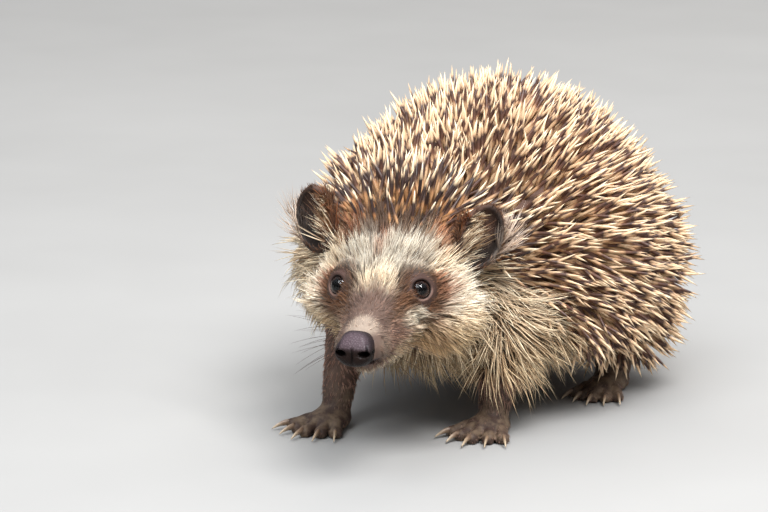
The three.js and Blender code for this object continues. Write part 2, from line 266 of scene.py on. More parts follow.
def coat_depth(p, h):
    """How far the skin lies inside the coat's tips."""
    fur = np.interp(from_nose_tip(h), [6, 20, 34, 46, 58, 74], [0.6, 1.0, 1.9, 3.2, 7.0, 12.0])
    fur = fur - np.maximum(fur - 5.5, 0) * eased(p[..., 2], 22, 14)
    from_eye = np.linalg.norm(mirrored(h) - (EYE_AT + EYE_AXIS * 1.8), axis=-1)
    fur = fur * (0.35 + 0.65 * eased(from_eye, 3, 9))
    fur = fur + 3.2 * spot(h, *RIGHT_CHEEK)
    return fur + (SPINE_DEPTH - fur) * eased(spine_line(p, h), -4, 8)


def toe_lines(size):
    """Where each toe starts and ends in its foot's frame, and the way that it points."""
    lines = []
    for place in (-2, -1, 0, 1, 2):
        angle = math.radians(place * size["spread"])
        length = size["toe"] * (1 - 0.09 * abs(place) ** 1.5)
        palm = size["palm"]
        root = np.array([place * palm[0] * 0.42, -palm[1] * 0.62 + abs(place) * 0.9, palm[2] * 0.7])
        end = np.array([root[0] + math.sin(angle) * length, root[1] - math.cos(angle) * length,
                        size["toe_radius"] * 0.86])
        lines.append((root, end, angle))
    return lines


def leg_field(foot):
    size = FOOT_SIZES[foot["size"]]
    turn, at = foot_frame(foot)
    top = (np.array(foot["top"]) - at) @ turn
    palm_size = size["palm"]
    palm = ellipsoid((0, 0, palm_size[2] * 0.72), palm_size)
    shank = limb((0, palm_size[1] * 0.45, size["ankle"] * 0.7), top, size["wrist"], size["top"])
    toes = []
    for root, end, _ in toe_lines(size):
        toes.append(limb(root, end, size["toe_radius"] * 1.15, size["toe_radius"]))
        toes.append(ellipsoid(end * (1, 1, 0.9), (size["toe_radius"] * 1.12,) * 3))

    def field(p):
        q = (p - at) @ turn
        form = blend(2.5, shank(q) + 0.5, palm(q) + 0.3)
        for toe in toes:
            form = soft_min(form, toe(q) + 0.3, 0.8)
        return carve(0.5, form, q[..., 2] - 0.1)
    return field, at


LEGS = [leg_field(foot) for foot in FEET.values()]
TAIL = limb(TAIL_FROM, TAIL_TO, 3.6, 1.1)


def ear_form(q):
    """A thin cup that opens towards -Y, with its rim rolled a little inwards."""
    edge = q[..., 1] + 1.5 - 0.004 * q[..., 2] ** 2 - 0.75 * np.maximum(-q[..., 0] - 1.5, 0)
    cup = carve(0.9, EAR_OUTSIDE(q), edge)
    cup = carve(0.7, cup, EAR_INSIDE(q))
    return soft_min(cup, EAR_FOLD(q), 1.0)


def eye_forms(base, left):
    """Lids round the eye, with the inner corner towards the nose, and the socket itself."""
    q = (left - EYE_AT) @ eye_frame(1)
    across, up, out = q[..., 0], q[..., 1], q[..., 2]
    ring = np.sqrt((across / 1.15) ** 2 + up ** 2)
    high = np.clip(up / 2.4, -1, 1)
    brim = 1.78 + 0.1 * high - 0.03 * across ** 2
    lid = np.sqrt((ring - 3.22) ** 2 + (out - brim) ** 2) - (0.52 + 0.12 * high)
    corner = limb((-3.6, -1.7, 1.2), (-5.2, -2.6, 0.0), 0.5, 0.35)(q)
    base = soft_min(base, ORBIT(q), 2.2)
    crease = np.sqrt((ring - 4.05) ** 2 + (out - 1.7) ** 2) - 0.3 + 1.5 * (1 - eased(up, 0.2, 2.0))
    base = carve(0.35, base, crease)
    base = soft_min(base, soft_min(lid, corner, 0.6), 0.9)
    notch = limb((-2.2, -0.9, 2.5), (-4.0, -1.95, 1.4), 0.5, 0.15)(q)
    base = carve(0.2, base, notch)
    return carve(0.12, base, np.linalg.norm(q, axis=-1) - EYE_RADIUS - 0.04)


def skin_field(p):
    """The whole skin. Small forms are only worked out in the box that each one lies in."""
    h = to_head(p)
    left = mirrored(h)
    base = coat_field(p, h) + coat_depth(p, h)
    for side in (1, -1):
        close = np.abs(p - ear_frame(side)[1]).max(-1) < 17
        q = to_ear(p[close], side)
        hollowed = carve(2.5, base[close], EAR_HOLLOW(q))
        base[close] = soft_min(hollowed, ear_form(q), 1.6)
    close = np.abs(left - (6, -12, -8)).max(-1) < 24
    face, left = base[close], left[close]
    face = blend(2.2, face, WHISKER_PAD(left), UPPER_LIP(left))
    mouth = -15.0 - 0.1 * (left[..., 1] + 26) + 0.012 * np.maximum(left[..., 1] + 12, 0) ** 2
    slit = np.maximum(np.abs(left[..., 2] - mouth) - 0.3, -face - 1.6)
    face = carve(0.5, face, np.maximum(slit, left[..., 1] + 5))
    base[close] = eye_forms(face, left)
    for field, at in LEGS:
        close = (np.abs(p[..., :2] - at[:2]).max(-1) < 27) & (p[..., 2] < 46)
        base[close] = soft_min(base[close], field(p[close]), 2.5)
    close = (p[..., 1] > 60) & (p[..., 2] < 32)
    base[close] = soft_min(base[close], TAIL(p[close]), 3)
    return base


# ------------------------------------------------ from a field to a mesh

def slope_of(field, p, here):
    step = 0.02
    return np.stack([(field(p + np.eye(3)[k] * step) - here) / step for k in range(3)], axis=-1)


def settled(field, p, most, turns=3):
    """Moves points onto a field's surface, by no more than `most` each turn."""
    for _ in range(turns):
        here = field(p)
        slope = slope_of(field, p, here)
        move = -here[:, None] * slope / np.maximum((slope ** 2).sum(-1, keepdims=True), 0.25)
        length = np.linalg.norm(move, axis=-1, keepdims=True)
        p = p + move * np.minimum(1, most / np.maximum(length, 1e-9))
    return p


def stepped(low, high, fine, coarse, near):
    """Places along one axis: `fine` apart inside `near`, `coarse` apart elsewhere, in fours."""
    places = [low]
    while places[-1] < high or len(places) % 4 != 1:
        places.append(places[-1] + (fine if near[0] < places[-1] < near[1] else coarse))
    return np.array(places)


CORNERS = [(i, j, k) for i in (0, 1) for j in (0, 1) for k in (0, 1)]


def at_corner(values, corner):
    """What a grid holds at one corner of each of its cells."""
    return values[tuple(slice(c, n - 1 + c) for c, n in zip(corner, values.shape))]


def sampled(field, axes):
    """The field on a grid, worked out in full only in blocks of 4 near the surface."""
    rough_axes = [axis[::4] for axis in axes]
    nodes = np.stack(np.meshgrid(*rough_axes, indexing="ij"), axis=-1)
    rough = field(nodes.reshape(-1, 3)).reshape(nodes.shape[:3])
    steps = np.meshgrid(*[np.diff(axis) for axis in rough_axes], indexing="ij")
    reach = 0.62 * np.sqrt(sum(step ** 2 for step in steps))
    near = np.zeros(reach.shape, bool)
    for corner in CORNERS:
        near |= np.abs(at_corner(rough, corner)) < reach
    values, wanted = rough[:-1, :-1, :-1], near
    for axis in range(3):
        values, wanted = np.repeat(values, 4, axis), np.repeat(wanted, 4, axis)
    values = np.array(values)
    index = np.argwhere(wanted)
    places = np.stack([axes[k][index[:, k]] for k in range(3)], axis=1)
    for part in np.array_split(np.arange(len(index)), max(1, len(index) // 200000)):
        values[tuple(index[part].T)] = field(places[part])
    return values


def surface_net(field, axes):
    """One point in each cell that the surface crosses, joined into triangles."""
    values = sampled(field, axes)
    inside = values < 0
    shape = np.array(values.shape)
    total = sum(at_corner(inside, corner).astype(np.int8) for corner in CORNERS)
    index = np.argwhere((total > 0) & (total < 8))
    number = np.full(shape - 1, -1)
    number[tuple(index.T)] = np.arange(len(index))
    place, crossings = np.zeros((len(index), 3)), np.zeros(len(index))
    for a in CORNERS:
        for b in CORNERS:
            if sum(b) != sum(a) + 1 or sum(x != y for x, y in zip(a, b)) != 1:
                continue
            va, vb = values[tuple((index + a).T)], values[tuple((index + b).T)]
            cross = (va < 0) != (vb < 0)
            share = np.where(cross, va / np.where(cross, va - vb, 1), 0)
            place += np.where(cross[:, None], np.array(a) + share[:, None] * (np.array(b) - a), 0)
            crossings += cross
    place /= crossings[:, None]
    points = np.stack([axes[k][index[:, k]] + place[:, k] * np.diff(axes[k])[index[:, k]]
                       for k in range(3)], axis=1)
    quads = []
    for axis in range(3):
        here, ahead = [slice(None)] * 3, [slice(None)] * 3
        here[axis], ahead[axis] = slice(0, -1), slice(1, None)
        starts = np.argwhere(inside[tuple(here)] != inside[tuple(ahead)])
        starts = starts[(np.delete(starts, axis, 1) > 0).all(1) & (starts < shape - 1).all(1)]
        u, v = np.eye(3, dtype=int)[(axis + 1) % 3], np.eye(3, dtype=int)[(axis + 2) % 3]
        quad = np.stack([number[tuple((starts - a * u - b * v).T)]
                         for a, b in ((0, 0), (1, 0), (1, 1), (0, 1))], axis=1)
        inward = ~inside[tuple(starts.T)]
        quad[inward] = quad[inward][:, ::-1]
        quads.append(quad)
    quads = np.concatenate(quads)
    points = settled(field, points, 0.7)
    short = np.linalg.norm(points[quads[:, 0]] - points[quads[:, 2]], axis=1) \
        < np.linalg.norm(points[quads[:, 1]] - points[quads[:, 3]], axis=1)
    first = np.where(short[:, None], quads[:, [0, 1, 2]], quads[:, [0, 1, 3]])
    second = np.where(short[:, None], quads[:, [0, 2, 3]], quads[:, [1, 2, 3]])
    return points, np.concatenate([first, second])


# how a triangle is filled when 1, 2 or 3 of its edges are split: 0 to 2 are its corners, and 3 to
# 5 the middles of the edges that follow them
FILLS = {1: ([3, 1, 2], [0, 3, 2]), 2: ([1, 4, 3], [0, 3, 4], [0, 4, 2]),
         3: ([0, 3, 5], [3, 1, 4], [5, 4, 2], [3, 4, 5])}


def refined(field, points, faces, wanted):
    """Splits every edge that is longer than `wanted` at its middle, and settles the new points."""
    edges = np.sort(faces[:, [0, 1, 1, 2, 2, 0]].reshape(-1, 2), axis=1)
    edges, back = np.unique(edges, axis=0, return_inverse=True)
    back = back.reshape(-1, 3)
    middle = points[edges].mean(1)
    split = np.linalg.norm(points[edges[:, 0]] - points[edges[:, 1]], axis=1) > wanted(middle)
    fresh = np.full(len(edges), -1)
    fresh[split] = len(points) + np.arange(split.sum())
    points = np.concatenate([points, settled(field, middle[split], 0.5)])
    mark = split[back]
    many = mark.sum(1)
    known = np.concatenate([faces, fresh[back]], axis=1)
    out = [faces[many == 0]]
    for shift in range(3):
        order = [shift, (shift + 1) % 3, (shift + 2) % 3]
        turned, cut = known[:, order + [3 + k for k in order]], mark[:, order]
        for splits, chosen in ((1, cut[:, 0]), (2, cut[:, 0] & cut[:, 1])):
            out += [turned[(many == splits) & chosen][:, fill] for fill in FILLS[splits]]
    out += [known[many == 3][:, fill] for fill in FILLS[3]]
    return points, np.concatenate(out)


def add_mesh(name, points, faces, material, numbers=None, colours=None):
    """A piece from points in mm and triangles, with named values and colours on its points."""
    mesh = bpy.data.meshes.new(name)
    mesh.vertices.add(len(points))
    mesh.vertices.foreach_set("co", ((points - MIDDLE) * MM).ravel().astype(np.float32))
    mesh.loops.add(faces.size)
    mesh.loops.foreach_set("vertex_index", faces.ravel().astype(np.int32))
    mesh.polygons.add(len(faces))
    mesh.polygons.foreach_set("loop_start", np.arange(0, faces.size, 3, dtype=np.int32))
    mesh.update(calc_edges=True)
    mesh.polygons.foreach_set("use_smooth", np.ones(len(faces), bool))
    for key, values in (numbers or {}).items():
        layer = mesh.attributes.new(key, "FLOAT", "POINT")
        layer.data.foreach_set("value", values.astype(np.float32))
    for key, values in (colours or {}).items():
        rgba = np.ones((len(points), 4), np.float32)
        rgba[:, :3] = values
        layer = mesh.attributes.new(key, "FLOAT_COLOR", "POINT")
        layer.data.foreach_set("color", rgba.ravel())
    mesh.materials.append(material)
    obj = bpy.data.objects.new(name, mesh)
    bpy.context.scene.collection.objects.link(obj)
    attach(obj, "root")
    return obj


# ------------------------------------------------ colours of the coat

def dye(red, green, blue):
    """A colour as seen, in 0 to 255, as light."""
    c = np.array([red, green, blue]) / 255
    return np.where(c < 0.04045, c / 12.92, ((c + 0.055) / 1.055) ** 2.4)


IVORY = dye(250, 236, 212)
CREAM = dye(248, 226, 192)
TAN = dye(212, 168, 118)
GOLD = dye(218, 180, 120)
RUST = dye(178, 104, 56)
BROWN = dye(112, 72, 42)
UMBER = dye(56, 36, 25)
MAUVE = dye(170, 136, 118)
BEIGE = dye(226, 202, 180)
LEG_BROWN = dye(134, 103, 88)
SKIN_PINK = dye(128, 94, 78)
LID = dye(74, 52, 44)
LID_RIM = dye(126, 98, 86)
LID_EDGE = dye(30, 20, 17)
LIP = dye(58, 40, 36)
# the nose pad's dark front, and the paler mauve of its top, which is painted sheen
NOSE_LOW, NOSE_SHEEN = dye(28, 15, 10), dye(90, 75, 80)
DRY_EARTH = dye(150, 128, 102)


def spot(h, centre, radii, soft):
    """1 inside an oval patch, falling to 0 over `soft` of its radius outside."""
    reach = np.linalg.norm((h - np.array(centre, float)) / np.array(radii, float), axis=-1)
    return 1 - eased(reach, 1 - soft / 2, 1 + soft / 2)


def ripple(p, scale, seed):
    """A smooth waviness between -1 and 1."""
    rng = np.random.RandomState(seed)
    total = 0
    for _ in range(5):
        way = unit(rng.normal(size=3)) / scale * rng.uniform(0.6, 1.7)
        total = total + np.sin(p @ way * 2 * math.pi + rng.uniform(0, 6.3))
    return total / 2.6


def round_ear(q):
    """Below 1 close to an ear and on the neck outside it, where fur grows in place of spines."""
    return np.linalg.norm((q - (3.0, -1, -1.0)) / (12.2, 12, 13.5), axis=-1)


def fore_leg(p):
    """1 on the forelegs, up to where the body's fur hangs over them."""
    hang = np.where(p[..., 0] > 5, 14, 0)
    reach = np.min([field(p) for field, _ in LEGS[:2]], axis=0)
    return eased(reach, 3.5, 1.0) * eased(p[..., 2], 37 - hang, 31 - hang)


def laid(base, marks):
    """The base with each mark's value laid over it in turn, as thickly as its mask says."""
    for value, mask in marks:
        base = base + (np.array(value) - base) * np.clip(mask, 0, 1)[..., None]
    return base


def fur_tint(p):
    """The coat's own markings, with painted shade on the top of the muzzle and painted light on its
    sides, the same for the skin and for what grows on it.
    """
    h = to_head(p)
    left = mirrored(h)
    x, y, z = left[..., 0], left[..., 1], left[..., 2]
    length, height = p[..., 1], p[..., 2]
    behind = eased(y, 24, 40)
    fringe = eased(y - 0.014 * x * x, 11.2, 13.6) * eased(z, 6, 11) * eased(x, 26, 18)
    marks = [
        # flanks, cheeks and throat
        (dye(238, 204, 154) * 0.62, 0.8 * behind * eased(height, 48, 24)),
        (TAN * 0.75, behind * eased(height, 24, 12)),
        (IVORY * 1.12, spot(left, (19.5, 8, -4.5), (8.5, 11, 8), 0.8)),
        (GOLD, 0.6 * spot(left, (20, 8, -15), (12, 15, 7), 0.8)),
        (TAN * 0.9, 0.6 * spot(left, (12, 4, -18), (9, 10, 4), 0.8)),
        # forehead, with its dark fringe and the streak down the middle
        (IVORY * 0.66, spot(left, (5.2, 5.5, 8), (9, 12, 7), 0.7)),
        (IVORY * 0.84, 0.8 * spot(left, (8.5, 8.5, 9.5), (5.5, 4.5, 5), 0.8)),
        (TAN * 0.85, 0.7 * spot(left, (16, 15, 12), (6, 6, 7), 0.9)),
        (BROWN * 0.6, 0.95 * fringe),
        (RUST * 0.8, 0.7 * spot(h, (-1.6, 8, 12), (1.8, 8, 7), 0.9)),
        # muzzle and the mask round the eyes
        (RUST * 0.8, 0.85 * spot(left, (16.6, 5.5, 0.5), (3.6, 4.2, 5.5), 0.8)),
        # the muzzle's own mauve-brown, made darker on top as painted shade
        (MAUVE * 0.57, eased(y, -4.5, -10) * (1 - 0.3 * eased(x, 5, 8))),
        (BROWN * 0.6, 0.95 * spot(left, (8.6, -4.6, 0.6), (4.0, 7.5, 6.0), 0.7)),
        (BROWN * 0.85, 0.9 * spot(left, EYE_AT + EYE_AXIS * 2, (6.8, 6.8, 6.8), 0.5)),
        (BROWN * 1.5, 0.6 * spot(left, (8.4, -10, -4.5), (2.8, 6, 6.5), 0.9)),
        (BROWN * 1.1, 0.85 * spot(left, (13.6, 1.8, -6.2), (5.0, 5.2, 4.0), 0.8)),
        # painted light: paler mauve on the sides of the muzzle
        (MAUVE * 1.7, 0.85 * spot(left, (9, -12, -11), (5, 9, 4.5), 0.8)),
        (BEIGE * 0.9, 0.95 * spot(h, (0.2, -23.0, -5), (5.2, 4.6, 3.6), 0.8)),
        # a pale patch under the left eye, a brown one under the right, the jaw, the chin and
        # the shade below the left ear
        (IVORY, spot(h, (11.8, -4.6, -7.6), (4.6, 4.8, 3.0), 0.8)),
        (BROWN * 1.4, 0.8 * spot(h, (-12.0, -3.6, -6.0), (4.4, 5.0, 5.0), 0.8)),
        (BROWN * 1.7, 0.5 * spot(left, (14, 2, -13), (4, 7, 4), 0.8)),
        (CREAM * 0.9, eased(z, -16.8, -19) * eased(y, 12, 0)),
        (UMBER, 0.8 * spot(h, (29, 27, -2), (3.5, 6, 9), 0.9)),
    ]
    for side in (1, -1):
        q = to_ear(p, side)
        marks += [
            # an ear's inner edge, its back, the pale tuft outside it and its hollow
            (RUST, 0.75 * spot(q, (-10.5, 0, -4), (4.5, 7, 8.5), 0.8)),
            (BROWN * 0.8, eased(EAR_OUTSIDE(q), 1.1, 0.7) * eased(q[..., 1], 4.5, 3.5)),
            (BEIGE * 0.9, 0.95 * spot(q, (9.5, 3, -2), (5.5, 9, 9.5), 0.6)),
            (UMBER * 0.8, 0.9 * (EAR_INSIDE(q) < 0.35)),
        ]
    marks += [
        # legs, feet and tail
        (LEG_BROWN * 1.5, fore_leg(p)),
        (LEG_BROWN, eased(height, 15, 9)),
        (BROWN * 0.9, eased(length, 74, 78) * eased(height, 22, 19)),
    ]
    tint = laid(np.broadcast_to(CREAM, p.shape), marks)
    return tint * (1 + 0.07 * ripple(p, 9, 4))[..., None]


# ------------------------------------------------ what grows on the skin

def scattered(points, faces, wanted, seed):
    """Roots over the faces, no closer than `wanted` gives there; 0 leaves a place bare."""
    rng = np.random.RandomState(seed)
    a, b, c = (points[faces[:, k]] for k in range(3))
    normal = np.cross(b - a, c - a)
    area = np.linalg.norm(normal, axis=1) / 2
    spacing = wanted((a + b + c) / 3)
    load = np.where(spacing > 0, area / np.maximum(spacing, 0.05) ** 2, 0)
    count = int(load.sum() * TRIES_PER_ROOT)
    face = rng.choice(len(faces), count, p=load / load.sum())
    s, t = np.sqrt(rng.rand(count)), rng.rand(count)
    weights = np.stack([1 - s, s * (1 - t), s * t], axis=1)
    place = (points[faces[face]] * weights[..., None]).sum(1)
    tree = KDTree(count)
    for k, q in enumerate(place):
        tree.insert(q, k)
    tree.balance()
    keep = np.ones(count, bool)
    gap = spacing[face]
    for k in range(count):
        if keep[k]:
            for _, other, _ in tree.find_range(place[k], gap[k]):
                if other > k:
                    keep[other] = False
    keep &= gap > 0
    return place[keep], unit(normal[face[keep]]), face[keep], weights[keep]


def lie_at(p):
    """The way the coat lies: away from the face, and more and more downwards on the flanks."""
    h = to_head(p)
    source = from_head(np.stack([np.zeros(len(p)), np.minimum(h[:, 1] - 6, -16),
                                 np.full(len(p), -6.0)], axis=1))
    away = unit(p - source)
    hang = eased(p[:, 2], 78, 14) * 0.78 * eased(h[:, 1], 16, 40)
    down = np.stack([np.zeros(len(p)), np.full(len(p), 0.42), np.full(len(p), -1.0)], axis=1)
    return unit(away * (1 - hang[:, None]) + down * hang[:, None])


def leaning(normal, lie, lean, rng, sway, swirl):
    """Directions that lean from the normal along the lie, with sway both ways in degrees."""
    flat = unit(lie - normal * (lie * normal).sum(-1, keepdims=True))
    cross = np.cross(normal, flat)
    turn = np.radians(rng.normal(0, sway, len(normal)) + swirl)[:, None]
    flat = flat * np.cos(turn) + cross * np.sin(turn)
    tilt = np.radians(lean + rng.normal(0, sway * 0.55, len(normal)))[:, None]
    return unit(normal * np.cos(tilt) + flat * np.sin(tilt)), flat


def tube_faces(rings, sides):
    """The triangles of one closed tube: its rings of points come in turn, then its tip."""
    faces = []
    for k in range(rings - 1):
        for m in range(sides):
            a, b = k * sides + m, k * sides + (m + 1) % sides
            faces += [(a, b, b + sides), (a, b + sides, a + sides)]
    last = (rings - 1) * sides
    faces += [(last + m, last + (m + 1) % sides, rings * sides) for m in range(sides)]
    faces += [(0, m + 1, m) for m in range(1, sides - 1)]
    return np.array(faces)


def rods(roots, aims, bends, lengths, radii, sides, stations, taper):
    """Tapering rods, each a ring of points at every station and one at the tip.

    Returns points, triangles, places along and around each rod, and the points in one rod."""
    count, rings = len(roots), len(stations)
    across = unit(np.cross(aims, np.where(np.abs(aims[:, 2:]) < 0.9, (0, 0, 1), (1, 0, 0))))
    up = np.cross(aims, across)
    points = np.empty((count, rings * sides + 1, 3))
    length = lengths[:, None]
    for k, (s, r) in enumerate(zip(stations, taper)):
        centre = roots + aims * (length * s) + bends * (length * s * s)
        for m in range(sides):
            angle = 2 * math.pi * m / sides
            around = across * math.cos(angle) + up * math.sin(angle)
            points[:, k * sides + m] = centre + around * (radii[:, None] * r)
    points[:, -1] = roots + aims * length + bends * length
    each = rings * sides + 1
    faces = tube_faces(rings, sides) + np.arange(count)[:, None, None] * each
    along = np.repeat([*stations, 1.0], [sides] * rings + [1])
    around = np.array([m / sides for _ in stations for m in range(sides)] + [0.5])
    return (points.reshape(-1, 3), faces.reshape(-1, 3), np.tile(along, count),
            np.tile(around, count), each)


def grown(name, material, slot_name, place, made, numbers, colours=None):
    """A coat piece: each tuft is a small patch, at its root's place, of the skin's own unwrap.

    `made` comes from rods, and place, numbers and colours have one row for each rod."""
    points, faces, along, around, each = made
    points[:, 2] = np.maximum(points[:, 2], LOWEST_TIP)
    numbers = {"along": along, **{key: np.repeat(v, each) for key, v in numbers.items()}}
    colours = {key: np.repeat(v, each, axis=0) for key, v in (colours or {}).items()}
    obj = add_mesh(name, points, faces, material, numbers, colours)
    at = np.repeat(place, each, axis=0)
    at = at + TUFT_PATCH * (np.stack([around, along], axis=1) - 0.5)
    layer = obj.data.uv_layers.new(name="OFBake")
    layer.data.foreach_set("uv", at[faces.ravel()].ravel().astype(np.float32))


# ------------------------------------------------ finishes

def node_group(name, inputs, outputs):
    """A shader node group, with the sockets that it is given and those that it puts out."""
    group = bpy.data.node_groups.new(name, "ShaderNodeTree")
    for label, value in inputs.items():
        kind = "NodeSocketColor" if isinstance(value, tuple) else "NodeSocketFloat"
        socket = group.interface.new_socket(name=label, in_out="INPUT", socket_type=kind)
        socket.default_value = (*value, 1) if isinstance(value, tuple) else value
    for label, kind in outputs.items():
        group.interface.new_socket(name=label, in_out="OUTPUT", socket_type=kind)
    given, put = group.nodes.new("NodeGroupInput"), group.nodes.new("NodeGroupOutput")
    return group, given.outputs, put.inputs


def add(tree, kind, inputs=None, **settings):
    """A node with its settings, and with its inputs set or linked."""
    node = tree.nodes.new(kind)
    for key, value in settings.items():
        setattr(node, key, value)
    for key, value in (inputs or {}).items():
        if isinstance(value, bpy.types.NodeSocket):
            tree.links.new(value, node.inputs[key])
        else:
            node.inputs[key].default_value = value
    return node


def sums(tree, operation, *values):
    return add(tree, "ShaderNodeMath", dict(enumerate(values)), operation=operation).outputs[0]


def mixed(tree, factor, first, second, kind="MIX"):
    def whole(value):
        return (*value, 1) if isinstance(value, (tuple, np.ndarray)) else value
    return add(tree, "ShaderNodeMix", {0: factor, 6: whole(first), 7: whole(second)},
               data_type="RGBA", blend_type=kind).outputs[2]


def ramped(tree, factor, stops):
    node = add(tree, "ShaderNodeValToRGB", {0: factor})
    elements = node.color_ramp.elements
    elements[0].position, elements[0].color = stops[0][0], (*stops[0][1], 1)
    elements[1].position, elements[1].color = stops[-1][0], (*stops[-1][1], 1)
    for place, colour in stops[1:-1]:
        elements.new(place).color = (*colour, 1)
    return node.outputs[0]


def clouded(tree, scale):
    """Soft noise in the object's own metres."""
    place = add(tree, "ShaderNodeTexCoord").outputs["Object"]
    return add(tree, "ShaderNodeTexNoise",
               {"Vector": place, "Scale": scale, "Detail": 3.0, "Roughness": 0.6}).outputs["Fac"]


def ranged(tree, value, from_low=0.0, from_high=1.0, to_low=0.0, to_high=1.0):
    """A value taken from one range to another."""
    return add(tree, "ShaderNodeMapRange",
               {0: value, 1: from_low, 2: from_high, 3: to_low, 4: to_high}).outputs[0]


def dyed(*stops):
    """A ramp's stops, from its places and the colours there as seen."""
    return [(place, dye(*colour)) for place, *colour in stops]


BACK_BANDS = dyed((0.0, 184, 150, 112), (0.30, 222, 188, 148), (0.46, 206, 164, 124),
                  (0.53, 112, 76, 58), (0.70, 74, 52, 46), (0.77, 214, 176, 138),
                  (0.86, 222, 190, 152), (1.0, 234, 210, 176))
BROW_BANDS = dyed((0.0, 96, 62, 40), (0.24, 204, 152, 100), (0.40, 176, 122, 78),
                  (0.48, 66, 46, 40), (0.76, 50, 38, 36), (0.83, 212, 184, 148),
                  (1.0, 240, 222, 194))


def banding():
    """Along a spine: tan at the root, a dark band, and a sharp ivory tip.

    At 0, Plain gives the brow's broader and darker bands, which paint shade over those spines' tan
    parts, and at 1 those of the back."""
    group, given, put = node_group("spine_banding", {"Along": 0.0, "Own": 0.5, "Plain": 1.0},
                                   {"Colour": "NodeSocketColor"})
    shift = sums(group, "MULTIPLY_ADD", given["Own"], 0.22, -0.1)
    place = sums(group, "ADD", given["Along"], shift)
    back, brow = ramped(group, place, BACK_BANDS), ramped(group, place, BROW_BANDS)
    bands = mixed(group, given["Plain"], brow, back)
    shade = sums(group, "MULTIPLY_ADD", given["Own"], 0.3, 0.82)
    fade = sums(group, "MULTIPLY", clouded(group, 700.0), 0.4)
    shade = sums(group, "MULTIPLY", shade, sums(group, "ADD", fade, 0.8))
    grey = add(group, "ShaderNodeCombineColor", {0: shade, 1: shade, 2: shade}).outputs[0]
    group.links.new(mixed(group, 1.0, bands, grey, "MULTIPLY"), put["Colour"])
    return group


def hair_shading():
    """Along a hair: painted shade that darkens and warms it towards the root, its own shade, and a
    paler tip.
    """
    inputs = {"Tint": (0.5, 0.4, 0.3), "Along": 0.0, "Own": 0.5, "Root": 0.45, "Spread": 0.5}
    group, given, put = node_group("hair_shading", inputs, {"Colour": "NodeSocketColor"})
    # painted shade: the hair darkens from its tip towards its root, and its red gains on its blue
    # as it darkens
    rise = sums(group, "POWER", given["Along"], 0.7)
    span = sums(group, "SUBTRACT", 1.12, given["Root"])
    light = sums(group, "MULTIPLY_ADD", rise, span, given["Root"])
    own = sums(group, "SUBTRACT", given["Own"], 0.5)
    own = sums(group, "MULTIPLY_ADD", own, given["Spread"], 1.0)
    light = sums(group, "MULTIPLY", light, own)
    red, blue = sums(group, "POWER", light, 0.8), sums(group, "POWER", light, 1.15)
    warm = add(group, "ShaderNodeCombineColor", {0: red, 1: light, 2: blue}).outputs[0]
    group.links.new(mixed(group, 1.0, given["Tint"], warm, "MULTIPLY"), put["Colour"])
    return group


def floor_dust():
    """Pale dry earth, thickest near the floor and broken up by noise."""
    group, given, put = node_group("floor_dust", {"Colour": (0.2, 0.1, 0.1), "Amount": 0.4},
                                   {"Colour": "NodeSocketColor"})
    place = add(group, "ShaderNodeTexCoord").outputs["Object"]
    height = add(group, "ShaderNodeSeparateXYZ", {0: place}).outputs["Z"]
    low = ranged(group, height, 0.0, 0.022, 1.0, 0.0)
    patchy = ranged(group, clouded(group, 260.0), 0.4, 0.65)
    mask = sums(group, "MULTIPLY", sums(group, "MULTIPLY", low, patchy), given["Amount"])
    group.links.new(mixed(group, mask, given["Colour"], DRY_EARTH), put["Colour"])
    return group


def fine_grain():
    """Small creases and pores, as a height and as a mask."""
    group, given, put = node_group("fine_grain", {"Scale": 900.0, "Creases": 0.5},
                                   {"Height": "NodeSocketFloat", "Mask": "NodeSocketFloat"})
    place = add(group, "ShaderNodeTexCoord").outputs["Object"]
    cells = add(group, "ShaderNodeTexVoronoi", {"Vector": place, "Scale": given["Scale"]},
                feature="DISTANCE_TO_EDGE").outputs["Distance"]
    edge = ranged(group, cells, 0.0, 0.22)
    noise = add(group, "ShaderNodeTexNoise",
                {"Vector": place, "Scale": given["Scale"], "Detail": 4.0}).outputs[0]
    height = add(group, "ShaderNodeMix", {0: given["Creases"], 2: noise, 3: edge}).outputs[0]
    group.links.new(height, put["Height"])
    group.links.new(edge, put["Mask"])
    return group


BANDING, HAIR_SHADING = banding(), hair_shading()
FLOOR_DUST, FINE_GRAIN = floor_dust(), fine_grain()


def finish(name, **constants):
    """A material with its shader, whose plain numbers are set on its own sockets."""
    material = bpy.data.materials.new(name)
    material.use_nodes = True
    tree = material.node_tree
    shader = tree.nodes["Principled BSDF"]
    for key, value in constants.items():
        shader.inputs[key.replace("_", " ")].default_value = value
    return material, tree, shader.inputs


def wired(tree, shader, **sockets):
    """Links sockets to a shader's inputs, whose names have _ for a space."""
    for key, socket in sockets.items():
        tree.links.new(socket, shader[key.replace("_", " ")])


def placed_group(tree, group, **inputs):
    return add(tree, "ShaderNodeGroup", inputs, node_tree=group).outputs


def value_of(tree, name):
    return add(tree, "ShaderNodeAttribute", attribute_name=name).outputs["Fac"]


def tint_of(tree):
    return add(tree, "ShaderNodeAttribute", attribute_name="tint").outputs["Color"]


def uneven(tree, value, low, high):
    """A roughness that wanders between two values."""
    return ranged(tree, value, to_low=low, to_high=high)


def bumped(tree, height, distance, strength):
    return add(tree, "ShaderNodeBump", {"Height": height, "Distance": distance,
                                        "Strength": strength}).outputs["Normal"]


def skin_finish():
    material, tree, shader = finish("thin_skin", Roughness=0.62, Specular_IOR_Level=0.3)
    grain = placed_group(tree, FINE_GRAIN, Scale=2100.0, Creases=0.35)
    mottle = ramped(tree, clouded(tree, 420.0), [(0.3, (0.72, 0.70, 0.70)), (0.7, (1, 1, 1))])
    shade = mixed(tree, 1.0, tint_of(tree), mottle, "MULTIPLY")
    wired(tree, shader,
          Base_Color=placed_group(tree, FLOOR_DUST, Colour=shade, Amount=0.5)["Colour"],
          Normal=bumped(tree, grain["Height"], 0.00016, 0.7),
          Roughness=uneven(tree, grain["Mask"], 0.75, 0.52))
    return material


